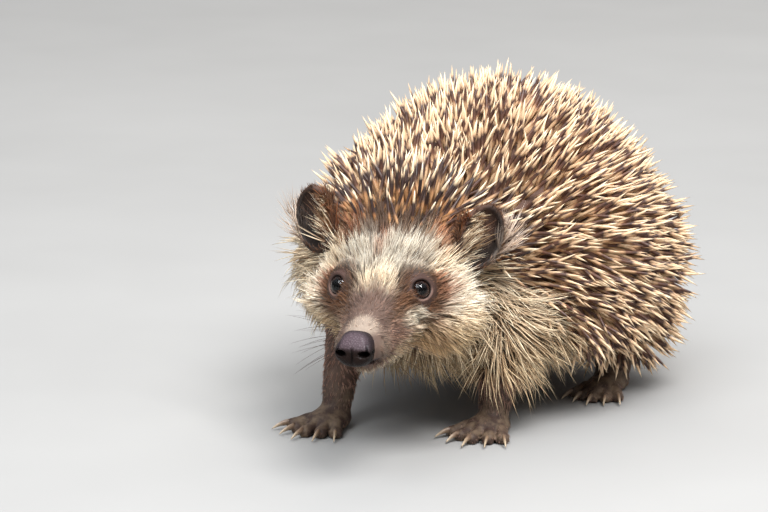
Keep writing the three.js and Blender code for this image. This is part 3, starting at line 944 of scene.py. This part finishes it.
def spine_finish():
    material, tree, shader = finish("spine_horn", Specular_IOR_Level=0.4, Coat_Weight=0.06,
                                    Coat_Roughness=0.3)
    bands = placed_group(tree, BANDING, Along=value_of(tree, "along"), Own=value_of(tree, "own"),
                         Plain=value_of(tree, "plain"))["Colour"]
    wired(tree, shader, Base_Color=bands,
          Roughness=uneven(tree, clouded(tree, 1500.0), 0.34, 0.58),
          Normal=bumped(tree, clouded(tree, 2600.0), 0.00008, 0.5))
    return material


def fur_finish(name, root, spread, dust=0.0):
    """Hair that painted shade leaves at `root` of its own tint at the root, and that differs by
    `spread` from hair to hair.
    """
    material, tree, shader = finish(name, Roughness=0.55, Sheen_Weight=0.05, Sheen_Roughness=0.4,
                                    Specular_IOR_Level=0.35)
    shade = placed_group(tree, HAIR_SHADING, Tint=tint_of(tree), Along=value_of(tree, "along"),
                         Own=value_of(tree, "own"), Root=root, Spread=spread)["Colour"]
    wired(tree, shader,
          Base_Color=placed_group(tree, FLOOR_DUST, Colour=shade, Amount=dust)["Colour"],
          Roughness=uneven(tree, clouded(tree, 900.0), 0.45, 0.66))
    return material


def nose_finish():
    material, tree, shader = finish("moist_nose", Specular_IOR_Level=0.1, Coat_Weight=0.06,
                                    Coat_Roughness=0.15)
    grain = placed_group(tree, FINE_GRAIN, Scale=1500.0, Creases=0.85)
    # painted shade: the pad is darker in the creases between its pebbles
    dark = ramped(tree, grain["Mask"], [(0.0, (0.62, 0.6, 0.6)), (1.0, (1, 1, 1))])
    wired(tree, shader, Base_Color=mixed(tree, 1.0, tint_of(tree), dark, "MULTIPLY"),
          Normal=bumped(tree, grain["Height"], 0.00014, 0.8),
          Roughness=uneven(tree, clouded(tree, 600.0), 0.3, 0.5))
    return material


def iris_finish():
    """Black pupil, a dark brown iris with fine fibres, and a darker rim."""
    material, tree, shader = finish("iris", Roughness=0.5, Specular_IOR_Level=0.0)
    reach = value_of(tree, "reach")
    fibres = sums(tree, "MULTIPLY_ADD", clouded(tree, 5200.0), 0.16, -0.08)
    pupil = [(0.0, (0.0005, 0.0005, 0.0005)), (0.46, (0.0006, 0.0005, 0.0005))]
    iris = dyed((0.58, 34, 16, 8), (0.76, 26, 13, 7), (0.88, 8, 5, 4), (1.0, 4, 3, 3))
    wired(tree, shader, Base_Color=ramped(tree, sums(tree, "ADD", reach, fibres), pupil + iris))
    return material


def cornea_finish():
    """Clear wet glass that lets light pass straight through to what lies behind it."""
    material, tree, _ = finish("cornea", Roughness=0.02, IOR=1.36, Transmission_Weight=1.0)
    glass = tree.nodes["Principled BSDF"].outputs[0]
    clear = add(tree, "ShaderNodeBsdfTransparent", {"Color": (1, 1, 1, 1)}).outputs[0]
    path = add(tree, "ShaderNodeLightPath").outputs["Is Shadow Ray"]
    both = add(tree, "ShaderNodeMixShader", {0: path, 1: glass, 2: clear})
    tree.links.new(both.outputs[0], tree.nodes["Material Output"].inputs["Surface"])
    return material


def claw_finish():
    material, tree, shader = finish("claw_horn", Coat_Weight=0.15, Coat_Roughness=0.25)
    along = sums(tree, "MULTIPLY_ADD", clouded(tree, 1500.0), 0.3, value_of(tree, "along"))
    shade = ramped(tree, along, dyed((0.15, 72, 52, 42), (0.6, 128, 104, 84), (1.0, 190, 170, 142)))
    wired(tree, shader,
          Base_Color=placed_group(tree, FLOOR_DUST, Colour=shade, Amount=0.5)["Colour"],
          Roughness=uneven(tree, clouded(tree, 1200.0), 0.3, 0.5),
          Normal=bumped(tree, clouded(tree, 2400.0), 0.00006, 0.5))
    return material


def floor_finish():
    material, tree, shader = finish("pale_floor", Roughness=0.8)
    shade = ramped(tree, clouded(tree, 6.0), dyed((0.3, 150, 148, 145), (0.7, 156, 154, 151)))
    wired(tree, shader, Base_Color=shade)
    return material


# ------------------------------------------------ the skin, with its lids, lips, ears and toes

def skin_cell(p):
    """The longest edge that the skin's mesh may have at a place."""
    left = mirrored(to_head(p))
    cell = np.where(p[:, 2] < 9, 0.95, 2.6)
    cell = np.where(np.linalg.norm(left - (0, -4, -6), axis=1) < 34, 1.05, cell)
    mouth = (left[:, 1] < -5) & (np.abs(left[:, 2] + 14.5) < 4.5)
    cell = np.where(mouth | (np.linalg.norm(left - (0, -27, -11), axis=1) < 9), 0.62, cell)
    eye = np.linalg.norm(left - (EYE_AT + EYE_AXIS * 1.5), axis=1)
    cell = np.where(eye < 6.8, 0.55, cell)
    return np.where(eye < 4.6, 0.4, cell)


def make_skin():
    corner, far = (-56, -108, -0.9), (56, 90, 101)
    near = ((-30, 52), (-106, -44), (24, 84))
    axes = [stepped(corner[k], far[k], HEAD_CELL, BODY_CELL, near[k]) for k in range(3)]
    points, faces = surface_net(skin_field, axes)
    for _ in range(2):
        points, faces = refined(skin_field, points, faces, skin_cell)
    points[:, 2] = np.maximum(points[:, 2], 0.05)
    skin = add_mesh("skin", points, faces, skin_finish(), colours={"tint": skin_tint(points)})
    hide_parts("trunk", "neck", "head", "jaw", "ear_left", "ear_right", "tail",
                *[foot + part for foot in FEET for part in ("_foot", "_leg")])
    return skin, points, faces


def skin_tint(points):
    """The coat's markings, darkened between the hairs as painted shade, with bare pink-brown skin
    where it shows, also darkened under the spines as painted shade.
    """
    h = to_head(points)
    left = mirrored(h)
    tint = fur_tint(points)
    # painted shade: the skin under the fur is darker, most where the fur is long
    tint = tint * (0.5 - 0.27 * eased(from_nose_tip(h), 28, 36))[:, None]
    q = (left - EYE_AT) @ eye_frame(1)
    ring = np.linalg.norm(q[:, :2] / (1.1, 1), axis=1)
    ahead = q[:, 2] > 0.0
    low = eased(q[:, 1], 0.8, -0.8)
    tint = laid(tint, [
        # pink-brown skin under the spines, made darker as painted shade in the gaps between them
        (SKIN_PINK * 0.6, eased(spine_line(points, h), -2, 6)),
        (LID, (1 - eased(ring, 4.2, 5.4)) * ahead),
        (LID_RIM, (1 - eased(ring, 3.15, 3.6)) * low * 0.9 * ahead),
        (LID_EDGE, (1 - eased(ring, 2.7, 3.05)) * ahead),
    ])
    lips = np.abs(left[:, 2] + 15.0 + 0.1 * (left[:, 1] + 26)) < 0.9
    return np.where((lips & (left[:, 1] < -6))[:, None], LIP, tint)


def unwrapped(skin):
    """Unwraps the skin over its own shape, and returns each corner's place on it."""
    layer = skin.data.uv_layers.new(name="OFBake")
    skin.data.uv_layers.active = layer
    bpy.context.view_layer.objects.active = skin
    for obj in bpy.context.view_layer.objects:
        obj.select_set(obj is skin)
    bpy.ops.object.mode_set(mode="EDIT")
    bpy.ops.mesh.select_all(action="SELECT")
    bpy.ops.uv.smart_project(angle_limit=math.radians(66), island_margin=0.004)
    bpy.ops.object.mode_set(mode="OBJECT")
    uv = np.empty(len(skin.data.loops) * 2, np.float32)
    skin.data.uv_layers["OFBake"].data.foreach_get("uv", uv)
    return uv.reshape(-1, 3, 2)


# ------------------------------------------------ spines

def spine_spacing(p):
    """Spines keep off the ears, the tail and the lowest part of the body."""
    h = to_head(p)
    gap = SPINE_GAP + WIDER_AT_BROW * (1 - eased(h[:, 1], 20, 34))
    by_ear = np.min([round_ear(to_ear(p, side)) for side in (1, -1)], axis=0) < 1
    spiny = (spine_line(p, h) > -1.0) & ~by_ear & (p[:, 2] > LOWEST_SPINE) & (TAIL(p) > 4.5)
    return np.where(spiny, gap, 0)


def grow_spines(points, faces, uv):
    rng = np.random.RandomState(SEEDS["spines"])
    root, normal, face, weights = scattered(points, faces, spine_spacing, SEEDS["spine_roots"])
    count = len(root)
    h = to_head(root)
    crown = spot(h, (0, 26, 16), (26, 15, 16), 0.9)
    brow = 1 - eased(h[:, 1] - brow_curve(h, BROW_BEND, BROW_WIDE), 17, 27)
    rear = h[:, 1] - brow_curve(h, 0.016, 26)
    inside = spine_line(root, h)
    lean = SPINE_LEAN - 9 * crown * (1 - brow) - 2 * brow + 7 * ripple(root, 7, 9)
    sway = 16 + 9 * eased(rear, 44, 30)
    aim, flat = leaning(normal, lie_at(root), lean, rng, sway, 26 * ripple(root, 9, 8))
    corner = spot(h, (-17, 21, 14), (9, 9, 9), 0.8)
    length = rng.uniform(*SPINE_LENGTHS, count) + 1.6 * brow + rng.uniform(0, 5, count) * corner
    length = length * (0.72 + 0.28 * eased(inside, -1, 5))
    bend = flat * 0.04 + normal * 0.03 + rng.normal(0, 0.02, root.shape)
    radius = rng.uniform(*SPINE_RADII, count) * (0.82 + 0.18 * eased(inside, 0, 8))
    own = rng.rand(count)
    # painted shade: the brow's spines, and a little the crown's, take the darker brow bands
    dark = 0.15 * eased(rear, 64, 48) + 0.85 * eased(rear, 44, 30)
    dark = dark * eased(np.abs(h[:, 0]), 34, 24)
    plain = np.clip(1 - dark * rng.uniform(0.75, 1.15, count), 0, 1)
    place = (uv[face] * weights[..., None]).sum(1)
    behind = root[:, 1] > np.median(root[:, 1])
    material = spine_finish()
    for name, part in (("spines_front", ~behind), ("spines_back", behind)):
        made = rods(root[part] - normal[part] * SPINE_SUNK, aim[part], bend[part], length[part],
                    radius[part], SPINE_SIDES, SPINE_STATIONS, SPINE_TAPER)
        grown(name, material, "spiny_coat", place[part], made,
              {"own": own[part], "plain": plain[part]})


# ------------------------------------------------ fur

GAP, LENGTH, LEAN, RADIUS, WIDTH = range(5)  # the columns of the plan


def fur_plan(p):
    """Spacing, length, lean and thickness of the tufts, and how wide each one is."""
    h = to_head(p)
    left = mirrored(h)
    x, y, z = left[:, 0], left[:, 1], left[:, 2]
    height = p[:, 2]
    from_nose = from_nose_tip(h)
    plan = laid(np.broadcast_to((1.5, 14.5, 40, 0.185, 0.95), (len(p), 5)), [
        # belly, head, face and muzzle, each shorter and closer than the last
        ((2.2, 9.5, 44, 0.16, 1.1), eased(height, 20, 16.8) * (np.abs(p[:, 0]) < 38)),
        ((0.95, 9.0, 44, 0.13, 0.6), eased(y, 34, 22)),
        ((0.78, 6.3, 48, 0.115, 0.5), eased(from_nose, 50, 40)),
        ((0.66, 3.6, 54, 0.095, 0.42), eased(from_nose, 36, 27)),
        ((0.56, 2.0, 60, 0.08, 0.36), eased(from_nose, 25, 15)),
        # forehead, above the eye, round the eye and the chin
        ((0.72, 6.8, 40, 0.105, 0.45), spot(left, (3, 8, 9), (12, 9, 7), 0.6)),
        ((0.62, 3.0, 60, 0.09, 0.4), spot(left, EYE_AT + (0.5, 1.5, 5.5), (6.5, 5, 4.5), 0.6)),
        ((0.55, 1.6, 66, 0.08, 0.3), spot(left, EYE_AT + EYE_AXIS * 2, (6, 6, 6), 0.6)),
        ((0.75, 4.6, 50, 0.1, 0.45), eased(z, -15.5, -18) * eased(y, 14, 4)),
        # legs, feet and tail
        ((0.85, 3.2, 60, 0.1, 0.45), fore_leg(p)),
        ((0.9, 2.8, 58, 0.1, 0.45), eased(height, 15, 11)),
        ((0.8, 1.5, 66, 0.09, 0.4), eased(height, 8, 5)),
        ((0.85, 3.0, 56, 0.1, 0.4), eased(p[:, 1], 71, 76) * eased(height, 24, 19)),
    ])
    near_ear = np.zeros(len(p), bool)
    for side in (1, -1):
        q = to_ear(p, side)
        near_ear |= round_ear(q) < 1.08
        plan = laid(plan, [((0.72, 1.9, 60, 0.08, 0.35), spot(q, *EAR_FUR))])
        plan[(EAR_INSIDE(q) < 0.25) & (q[:, 1] < 1), GAP] = 1.15
        plan = laid(plan, [((1.0, 12.0, 50, 0.14, 0.5), spot(q, (9.5, 4, -2), (5, 9, 9.5), 0.6))])
    plan[:, LENGTH] *= 1 - 0.4 * spot(h, *RIGHT_CHEEK)
    q = (left - EYE_AT) @ eye_frame(1)
    lids = np.linalg.norm((q[:, :2] + (0.4, 0.1)) / (1.18, 1), axis=1) < 4.0
    bare = lids & (q[:, 2] > -1)
    bare |= (y < -24.6) & (x < 5.6) & (z > -15.6) & (z < -4)
    bare |= height < 1.2
    bare |= (spine_line(p, h) > np.where(y < 26, 1.5, -2.5)) & ~near_ear
    plan[bare, GAP] = 0
    return plan


def fur_lie(p):
    """As the coat lies, but up the ears and down the legs."""
    lie = lie_at(p)
    for side in (1, -1):
        on_ear = spot(to_ear(p, side), *EAR_FUR)[:, None] > 0.5
        lie = np.where(on_ear, ear_frame(side)[0][:, 2], lie)
    low = (eased(p[:, 2], 16, 10) * eased(to_head(p)[:, 1], 10, 30))[:, None]
    return unit(lie * (1 - low) + np.array([0, -0.35, -1.0]) * low)


def nearest_places(roots, points, faces, uv):
    """Where each root lies on the skin's unwrap."""
    tree = KDTree(len(faces))
    for k, q in enumerate(points[faces].mean(1)):
        tree.insert(q, k)
    tree.balance()
    return np.array([uv[tree.find(q)[1]].mean(0) for q in roots])


def ear_fringe(rng, points, faces, uv):
    """Tufts along the inner side of each ear, sweeping up across its opening."""
    roots, aims, flats, shrinks, browns = [], [], [], [], []
    count = FRINGE_TUFTS
    outer = np.arange(count) < OUTER_TUFTS
    for side in (1, -1):
        turn, at = ear_frame(side)
        left, right = side > 0, side < 0
        rise = rng.uniform(-13, 5.5, count)
        start = np.stack([-8.2 + 0.18 * (rise + 13) + rng.uniform(0, 3.2, count) - 3.4 * outer,
                          0.3 - (0.2 + 1.3 * right) * outer, rise], 1)
        way = np.array([0.5 - 0.2 * right, -0.32, 0.75]) + rng.normal(0, 0.2, (count, 3))
        way[:, 0] -= (0.9 - 0.45 * right) * outer
        way[:, 2] -= 0.5 * eased(rise, -2, 5)
        roots.append(settled(skin_field, (start * (side, 1, 1)) @ turn.T + at, 2, 4))
        aims.append(unit(way * (side, 1, 1)) @ turn.T)
        shrinks.append(np.where(outer, 1 - 0.3 * left, 1 - 0.55 * eased(rise, -4, 5)))
        browns.append(outer)
        flats.append(np.tile(turn @ np.array([side * 0.6, 0.2, 0.5]), (count, 1)))
    root, aim, flat, shrink, brown = (
        np.concatenate(v) for v in (roots, aims, flats, shrinks, browns))
    normal = unit(slope_of(skin_field, root, skin_field(root)))
    plan = np.tile((0.8, 8.6, 60, 0.115, 0.6), (len(root), 1))
    plan[:, LENGTH] *= rng.uniform(0.5, 1.2, len(root)) * shrink
    pick = rng.rand(len(root))[:, None]
    inner = np.where(pick < 0.25, TAN * 0.5, np.where(pick < 0.5, BROWN * 0.7, CREAM * 0.85))
    tint = np.where(brown[:, None], np.where(pick < 0.4, RUST * 0.6, BROWN * 0.8), inner)
    return root, normal, aim, unit(flat), plan, tint, nearest_places(root, points, faces, uv)


def fur_pieces(root, in_ear, fringe):
    """Each fur piece's roots, hairs to a tuft, rings to a hair, finish and slot."""
    h = to_head(root)
    leg = (root[:, 2] < 14) | (root[:, 1] > 73)
    belly = ~leg & (root[:, 2] < 19) & (np.abs(root[:, 0]) < 38) & (h[:, 1] > 20)
    head = ~leg & ~in_ear & (h[:, 1] < 30)
    muzzle = head & (from_nose_tip(h) < 26)
    brow = head & ~muzzle & (h[:, 2] > 0)
    cheek = head & ~muzzle & ~brow
    flank = ~(leg | belly | head | in_ear)
    left_cheek, left_flank = h[:, 0] > 0, root[:, 0] > 0
    # the first number is the share of its tint that painted shade leaves at each fur's roots
    long_fur = fur_finish("coarse_fur", 0.1, 0.9)
    face_fur = fur_finish("face_fur", 0.32, 0.65)
    leg_fur = fur_finish("leg_fur", 0.6, 0.5, 0.45)
    return [
        ("muzzle_fur", muzzle, 4, 2, face_fur, "short_fur"),
        ("brow_fur", brow, 6, 3, face_fur, "fur"),
        ("cheek_fur_left", cheek & left_cheek, 8, 3, face_fur, "fur"),
        ("cheek_fur_right", cheek & ~left_cheek, 6, 3, face_fur, "fur"),
        ("flank_fur_left", flank & left_flank, 6, 3, long_fur, "fur"),
        ("flank_fur_right", flank & ~left_flank, 6, 3, long_fur, "fur"),
        ("belly_fur", belly, 5, 3, long_fur, "fur"),
        ("leg_fur", leg & ~in_ear, 4, 2, leg_fur, "short_fur"),
        ("ear_fur", in_ear & ~fringe, 4, 2, face_fur, "short_fur"),
        ("ear_fringe", fringe, 4, 3, long_fur, "fur"),
    ]


def grow_fur(points, faces, uv):
    """Fur in tufts, whose hairs start round the tuft's root and draw together at its tip."""
    rng = np.random.RandomState(SEEDS["fur"])
    root, normal, face, weights = scattered(points, faces, lambda p: fur_plan(p)[:, GAP],
                                            SEEDS["fur_roots"])
    plan = fur_plan(root)
    swirl = (8 + 12 * eased(plan[:, LENGTH], 9, 13)) * ripple(root, 8, 3)
    aim, flat = leaning(normal, fur_lie(root), plan[:, LEAN], rng, 7, swirl)
    tint = fur_tint(root)
    place = (uv[face] * weights[..., None]).sum(1)
    in_ear = np.max([spot(to_ear(root, side), *WHOLE_EAR) for side in (1, -1)], axis=0) > 0.5

    extra = ear_fringe(rng, points, faces, uv)
    fringe = np.arange(len(root) + len(extra[0])) >= len(root)
    in_ear = np.append(in_ear, fringe[fringe])
    root, normal, aim, flat, plan, tint, place = (
        np.concatenate(pair)
        for pair in zip((root, normal, aim, flat, plan, tint, place), extra))
    stoop = np.where(fringe, 0.25, 1.0)

    count = len(root)
    h = to_head(root)
    right_edge = eased(-h[:, 0], 12, 20) * eased(h[:, 1], 2, 8) * ~in_ear
    plan[:, LENGTH] *= 1 - 0.36 * right_edge
    guard = np.where(rng.rand(count) < 0.25, 1.25, 0.95)
    guard = np.where((rng.rand(count) < 0.05) & (right_edge > 0.5) & (h[:, 2] > -12), 1.8, guard)
    pale = spot(mirrored(h), (19, 8, -4), (9, 12, 9), 0.6)
    speck = np.where(rng.rand(count) < 0.2, 0.55 + 0.3 * pale, 1.0)
    tint = tint * (speck * rng.uniform(0.84, 1.16, count))[:, None]

    for name, part, per, rings, material, slot_name in fur_pieces(root, in_ear, fringe):
        who = np.repeat(np.nonzero(part)[0], per)
        count = len(who)
        ring = rng.uniform(0, 2 * math.pi, count)
        out = np.sqrt(rng.rand(count)) * plan[who, WIDTH]
        cross = np.cross(normal[who], flat[who])
        offset = flat[who] * (np.cos(ring) * out)[:, None] + cross * (np.sin(ring) * out)[:, None]
        length = plan[who, LENGTH] * rng.uniform(0.72, 1.12, count) * guard[who]
        long = eased(plan[who, LENGTH], 9, 13)[:, None]
        aims = aim[who] + rng.normal(0, 1, (count, 3)) * (0.09 + 0.09 * long)
        aims -= offset / np.maximum(length, 1.5)[:, None] * (0.75 - 0.5 * long)
        droop = stoop[who, None] * (1 - 0.45 * long) * (0.5 if name == "brow_fur" else 1)
        bends = (flat[who] * 0.26 - normal[who] * 0.30) * droop + rng.normal(0, 0.04, (count, 3))
        radii = plan[who, RADIUS] * rng.uniform(0.75, 1.2, count)
        made = rods(root[who] + offset - normal[who] * HAIR_SUNK, unit(aims), bends, length,
                    radii, HAIR_SIDES, *HAIR_SHAPES[rings])
        grown(name, material, slot_name, place[who], made, {"own": rng.rand(count)},
              {"tint": tint[who]})


# ------------------------------------------------ whiskers, nose, eyes and claws

def grow_whiskers(points, faces, uv):
    """Three rows on each side of the muzzle, and two hairs over each eye."""
    rng = np.random.RandomState(SEEDS["whiskers"])
    starts, aims, lengths = [], [], []
    for side in (1, -1):
        for row in range(3):
            for place in range(4 if side > 0 else 5):
                y = -23.5 + 3.0 * place + 0.8 * row
                starts.append((side * (5.6 + 0.35 * place), y, -8.6 - 2.3 * row))
                aims.append((side * (1.0 + 0.1 * place), 0.15 + 0.26 * place, 0.25 - 0.42 * row))
                lengths.append(13 + 3.6 * place)
        for y, z in ((6, 8), (8, 7)):
            starts.append((side * 9.0, y, z))
            aims.append((side * 0.5, 0.5, 0.9))
            lengths.append(14)
    root = settled(skin_field, from_head(starts), 3, 5)
    aim = unit(unit(np.array(aims)) + rng.normal(0, 0.1, (len(aims), 3))) @ HEAD_TURN.T
    length = np.array(lengths) * rng.uniform(0.85, 1.1, len(lengths))
    bend = np.array([0, 0.05, -0.16]) @ HEAD_TURN.T + rng.normal(0, 0.04, root.shape)
    radius = rng.uniform(0.055, 0.085, len(root))
    made = rods(root - aim * WHISKER_SUNK, aim, bend, length, radius, WHISKER_SIDES,
                *WHISKER_SHAPE)
    grown("whiskers", fur_finish("whisker", 0.8, 0.3), "fur",
          nearest_places(root, points, faces, uv), made, {"own": np.full(len(root), 0.5)},
          {"tint": np.tile(UMBER, (len(root), 1))})


def nose_field(p):
    """A pad that is widest at the nostrils, with its upper face sloping back to the bridge."""
    h = (to_head(p) - (-0.35, NOSE_FRONT + 5, 0)) @ turned_by(0, 0, -6) + (0, NOSE_FRONT + 5, 0)
    x, y, z = np.abs(h[:, 0]), h[:, 1], h[:, 2] - NOSE_UP
    half = np.interp(z, [-5.4, -3.2, -1.0, 1.0, 3.2, 5.4], [3.5, 4.5, 4.9, 4.7, 3.8, 3.1])
    front = (NOSE_FRONT + 0.62 * np.maximum(z - 0.2, 0) + 0.05 * np.maximum(-z - 1, 0) ** 2
             + 0.04 * x * x)
    slope = z - 4.9 + 0.3 * np.maximum(y - NOSE_FRONT - 3.5, 0)
    walls = [x - half, front - y, slope, -5.1 - z, y - (NOSE_FRONT + NOSE_DEPTH)]
    pad = -blend(2.5, *[-wall for wall in walls]) - 0.12
    here = np.stack([x, y, h[:, 2]], 1)

    def at(across, back, up):
        return across, NOSE_FRONT + back, NOSE_UP + up

    pad = soft_min(pad, ellipsoid(at(3.9, 2.6, -1.0), (1.4, 2.4, 2.0))(here), 1.2)
    bore = limb(at(3.1, -0.6, -1.3), at(3.9, 3.2, -0.6), 1.05, 0.8)
    stretch = (here - (3.4, 0, NOSE_UP - 1.3)) * (0.68, 1, 1.1) + (3.4, 0, NOSE_UP - 1.3)
    slit = limb(at(4.35, 0.4, -0.4), at(3.9, 2.0, 2.3), 0.36, 0.2)
    groove = limb(at(0, -0.05, 1.4), at(0, 0.4, -5.2), 0.24, 0.34)
    pad = carve(0.45, pad, bore(stretch))
    pad = carve(0.3, pad, slit(here))
    return carve(0.5, pad, groove(here))


def make_nose():
    centre = from_head((0, NOSE_FRONT + 4.5, NOSE_UP))
    axes = [centre[k] - 9 + NOSE_CELL * np.arange(49) for k in range(3)]
    points, faces = surface_net(nose_field, axes)
    h = to_head(points)
    # painted sheen: the pad turns from dark brown at the front to paler mauve on top
    rise = eased(h[:, 2] - NOSE_UP, -0.8, 1.8)[:, None]
    tint = NOSE_LOW + (NOSE_SHEEN - NOSE_LOW) * rise
    # painted shade: darker where the pad lies in a hollow, as in the nostrils and the groove
    ahead = points + unit(points - from_head((0, 10, -8))) * 0.8
    tint = tint * (1 - 0.75 * eased(nose_field(ahead), 0.75, 0.2)[:, None])
    pad = add_mesh("nose_pad", points, faces, nose_finish(), colours={"tint": tint})
    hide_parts("nose")


def ball(centre, axes, radius_at, rings, segments):
    """A closed round shell about an axis, with its radius given by the angle from the axis."""
    theta = np.linspace(0, math.pi, rings + 1)[1:-1]
    phi = np.arange(segments) * 2 * math.pi / segments
    t, f = np.meshgrid(theta, phi, indexing="ij")
    r = radius_at(t)
    local = np.stack([r * np.sin(t) * np.cos(f), r * np.sin(t) * np.sin(f), r * np.cos(t)],
                     axis=-1)
    front, back = radius_at(np.array([0.0, math.pi]))
    ends = np.array([[0, 0, front], [0, 0, -back]])
    local = np.concatenate([local.reshape(-1, 3), ends])
    faces = []
    for i in range(rings - 2):
        for j in range(segments):
            a, b = i * segments + j, i * segments + (j + 1) % segments
            faces += [(a, a + segments, b + segments), (a, b + segments, b)]
    top, bottom = len(local) - 2, len(local) - 1
    last = (rings - 2) * segments
    faces += [(top, j, (j + 1) % segments) for j in range(segments)]
    faces += [(bottom, last + (j + 1) % segments, last + j) for j in range(segments)]
    return centre + local @ axes.T, np.array(faces), local


def iris_radius(t):
    """The ball, flattened to an iris with the pupil sunk in it."""
    flat = 1.95 / np.maximum(np.cos(t), 0.2) - 0.25 * np.exp(-(t / 0.4) ** 4)
    return np.minimum(EYE_RADIUS - 0.16, flat)


def cornea_radius(t):
    """A clear shell close over the ball, domed in front."""
    return EYE_RADIUS + 0.18 * np.exp(-(t / 0.55) ** 2)


def make_eyes():
    iris, cornea = iris_finish(), cornea_finish()
    for side, word in ((1, "left"), (-1, "right")):
        centre = from_head(EYE_AT * (side, 1, 1))
        axes = HEAD_TURN @ eye_frame(side) * (side, 1, 1)
        points, faces, local = ball(centre, axes, iris_radius, 40, 64)
        reach = np.where(local[:, 2] > 0, np.linalg.norm(local[:, :2], axis=1) / 3.0, 1.0)
        numbers = {"reach": np.minimum(reach, 1)}
        eyeball = add_mesh("eyeball_" + word, points, faces, iris, numbers)
        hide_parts("eye_" + word)
        points, faces, _ = ball(centre, axes, cornea_radius, 40, 64)
        add_mesh("cornea_" + word, points, faces, cornea)


def make_claws():
    """Curved horn claws, deeper than wide, that bend down to the floor."""
    rng = np.random.RandomState(SEEDS["claws"])
    sides, rings = 8, 9
    each = rings * sides + 1
    pattern = tube_faces(rings, sides)[:, [0, 2, 1]]
    claws = []
    for foot in FEET.values():
        size = FOOT_SIZES[foot["size"]]
        turn, at = foot_frame(foot)
        for _, end, angle in toe_lines(size):
            aim = np.array([math.sin(angle), -math.cos(angle), 0.0])
            cross = np.array([aim[1], -aim[0], 0.0])
            long = size["claw"] * rng.uniform(0.94, 1.03) + 0.9
            begin = end + aim * (size["toe_radius"] - 1.0) + (0, 0, 0.55)
            points = []
            for k in range(rings):
                s = k / rings
                centre = begin + aim * (long * s) + np.array([0, 0, 0.75 * s - 2.35 * s * s])
                high, wide = 1.05 * (1 - s) ** 0.75 + 0.08, 0.66 * (1 - s) ** 0.7 + 0.06
                for m in range(sides):
                    a = 2 * math.pi * m / sides
                    points.append(centre + cross * (wide * math.cos(a))
                                  + np.array([0, 0, high * math.sin(a)]))
            points = np.array(points + [begin + aim * long + (0, 0, -1.62)])
            points[:, 2] = np.maximum(points[:, 2], 0.12)
            claws.append(points @ turn.T + at)
    along = [k / rings for k in range(rings) for _ in range(sides)] + [1.0]
    faces = (pattern + np.arange(len(claws))[:, None, None] * each).reshape(-1, 3)
    piece = add_mesh("claws", np.concatenate(claws), faces, claw_finish(),
                     {"along": np.tile(along, len(claws))})


# ------------------------------------------------ floor, light and camera

FLOOR_REACH = 3
CAMERA_LENS, CAMERA_SENSOR = 170.16, 36
CAMERA_FROM = 38, 13, 1.1  # azimuth, elevation and distance in metres
CAMERA_TARGET = -0.02213, -0.00424, 0.044
LIGHT_TARGET = 0, 0, 0.045


def make_floor():
    mesh = bpy.data.meshes.new("floor")
    sides = ((-1, -1), (1, -1), (1, 1), (-1, 1))
    corners = [(x * FLOOR_REACH, y * FLOOR_REACH, 0) for x, y in sides]
    mesh.from_pydata(corners, [], [(0, 1, 2, 3)])
    mesh.materials.append(floor_finish())
    floor = bpy.data.objects.new("floor", mesh)
    bpy.context.scene.collection.objects.link(floor)


def add_light(name, azimuth, elevation, distance, size, power, colour):
    """A square lamp; its distance and size are in metres and its power in watts."""
    light = bpy.data.lights.new(name, "AREA")
    light.size, light.energy, light.color = size, power, colour
    lamp = bpy.data.objects.new(name, light)
    bpy.context.scene.collection.objects.link(lamp)
    place_at(lamp, azimuth, elevation, distance, Vector(LIGHT_TARGET))
    return lamp


def place_at(obj, azimuth, elevation, distance, target):
    """Stands an object off a target, looking at it. Azimuth 0 is in front of the animal."""
    a, e = math.radians(azimuth), math.radians(elevation)
    away = Vector((math.sin(a) * math.cos(e), -math.cos(a) * math.cos(e), math.sin(e)))
    obj.location = target + away * distance
    obj.rotation_euler = (-away).to_track_quat("-Z", "Y").to_euler()


def light_and_camera():
    scene = bpy.context.scene
    scene.view_settings.view_transform = "Standard"

    world = bpy.data.worlds.new("studio")
    scene.world = world
    world.use_nodes = True
    tree = world.node_tree
    way = add(tree, "ShaderNodeTexCoord").outputs["Generated"]
    height = add(tree, "ShaderNodeSeparateXYZ", {0: way}).outputs["Z"]
    dome = ramped(tree, height, [(0.0, (0.2, 0.2, 0.2)), (0.25, (0.24, 0.24, 0.25)),
                                 (0.7, (0.74, 0.79, 0.86))])
    seen = add(tree, "ShaderNodeLightPath").outputs["Is Camera Ray"]
    backdrop = mixed(tree, seen, dome, (0.78, 0.79, 0.80))
    tree.links.new(backdrop, tree.nodes["Background"].inputs["Color"])

    add_light("key", 66, 56, 1.3, 0.62, 26, (0.97, 0.98, 1.0))
    add_light("high", 14, 52, 1.3, 0.8, 14, (0.9, 0.95, 1.0))
    add_light("back", 205, 50, 1.4, 0.9, 9, (1.0, 0.95, 0.88)).visible_glossy = False

    camera = bpy.data.cameras.new("camera")
    camera.lens, camera.sensor_width = CAMERA_LENS, CAMERA_SENSOR
    camera.clip_start, camera.clip_end = 0.05, 20
    viewer = bpy.data.objects.new("camera", camera)
    scene.collection.objects.link(viewer)
    place_at(viewer, *CAMERA_FROM, Vector(CAMERA_TARGET))
    scene.camera = viewer


make_floor()
light_and_camera()
skin_piece, skin_points, skin_faces = make_skin()
skin_uv = unwrapped(skin_piece)
make_nose()
make_eyes()
make_claws()
grow_spines(skin_points, skin_faces, skin_uv)
grow_fur(skin_points, skin_faces, skin_uv)
grow_whiskers(skin_points, skin_faces, skin_uv)
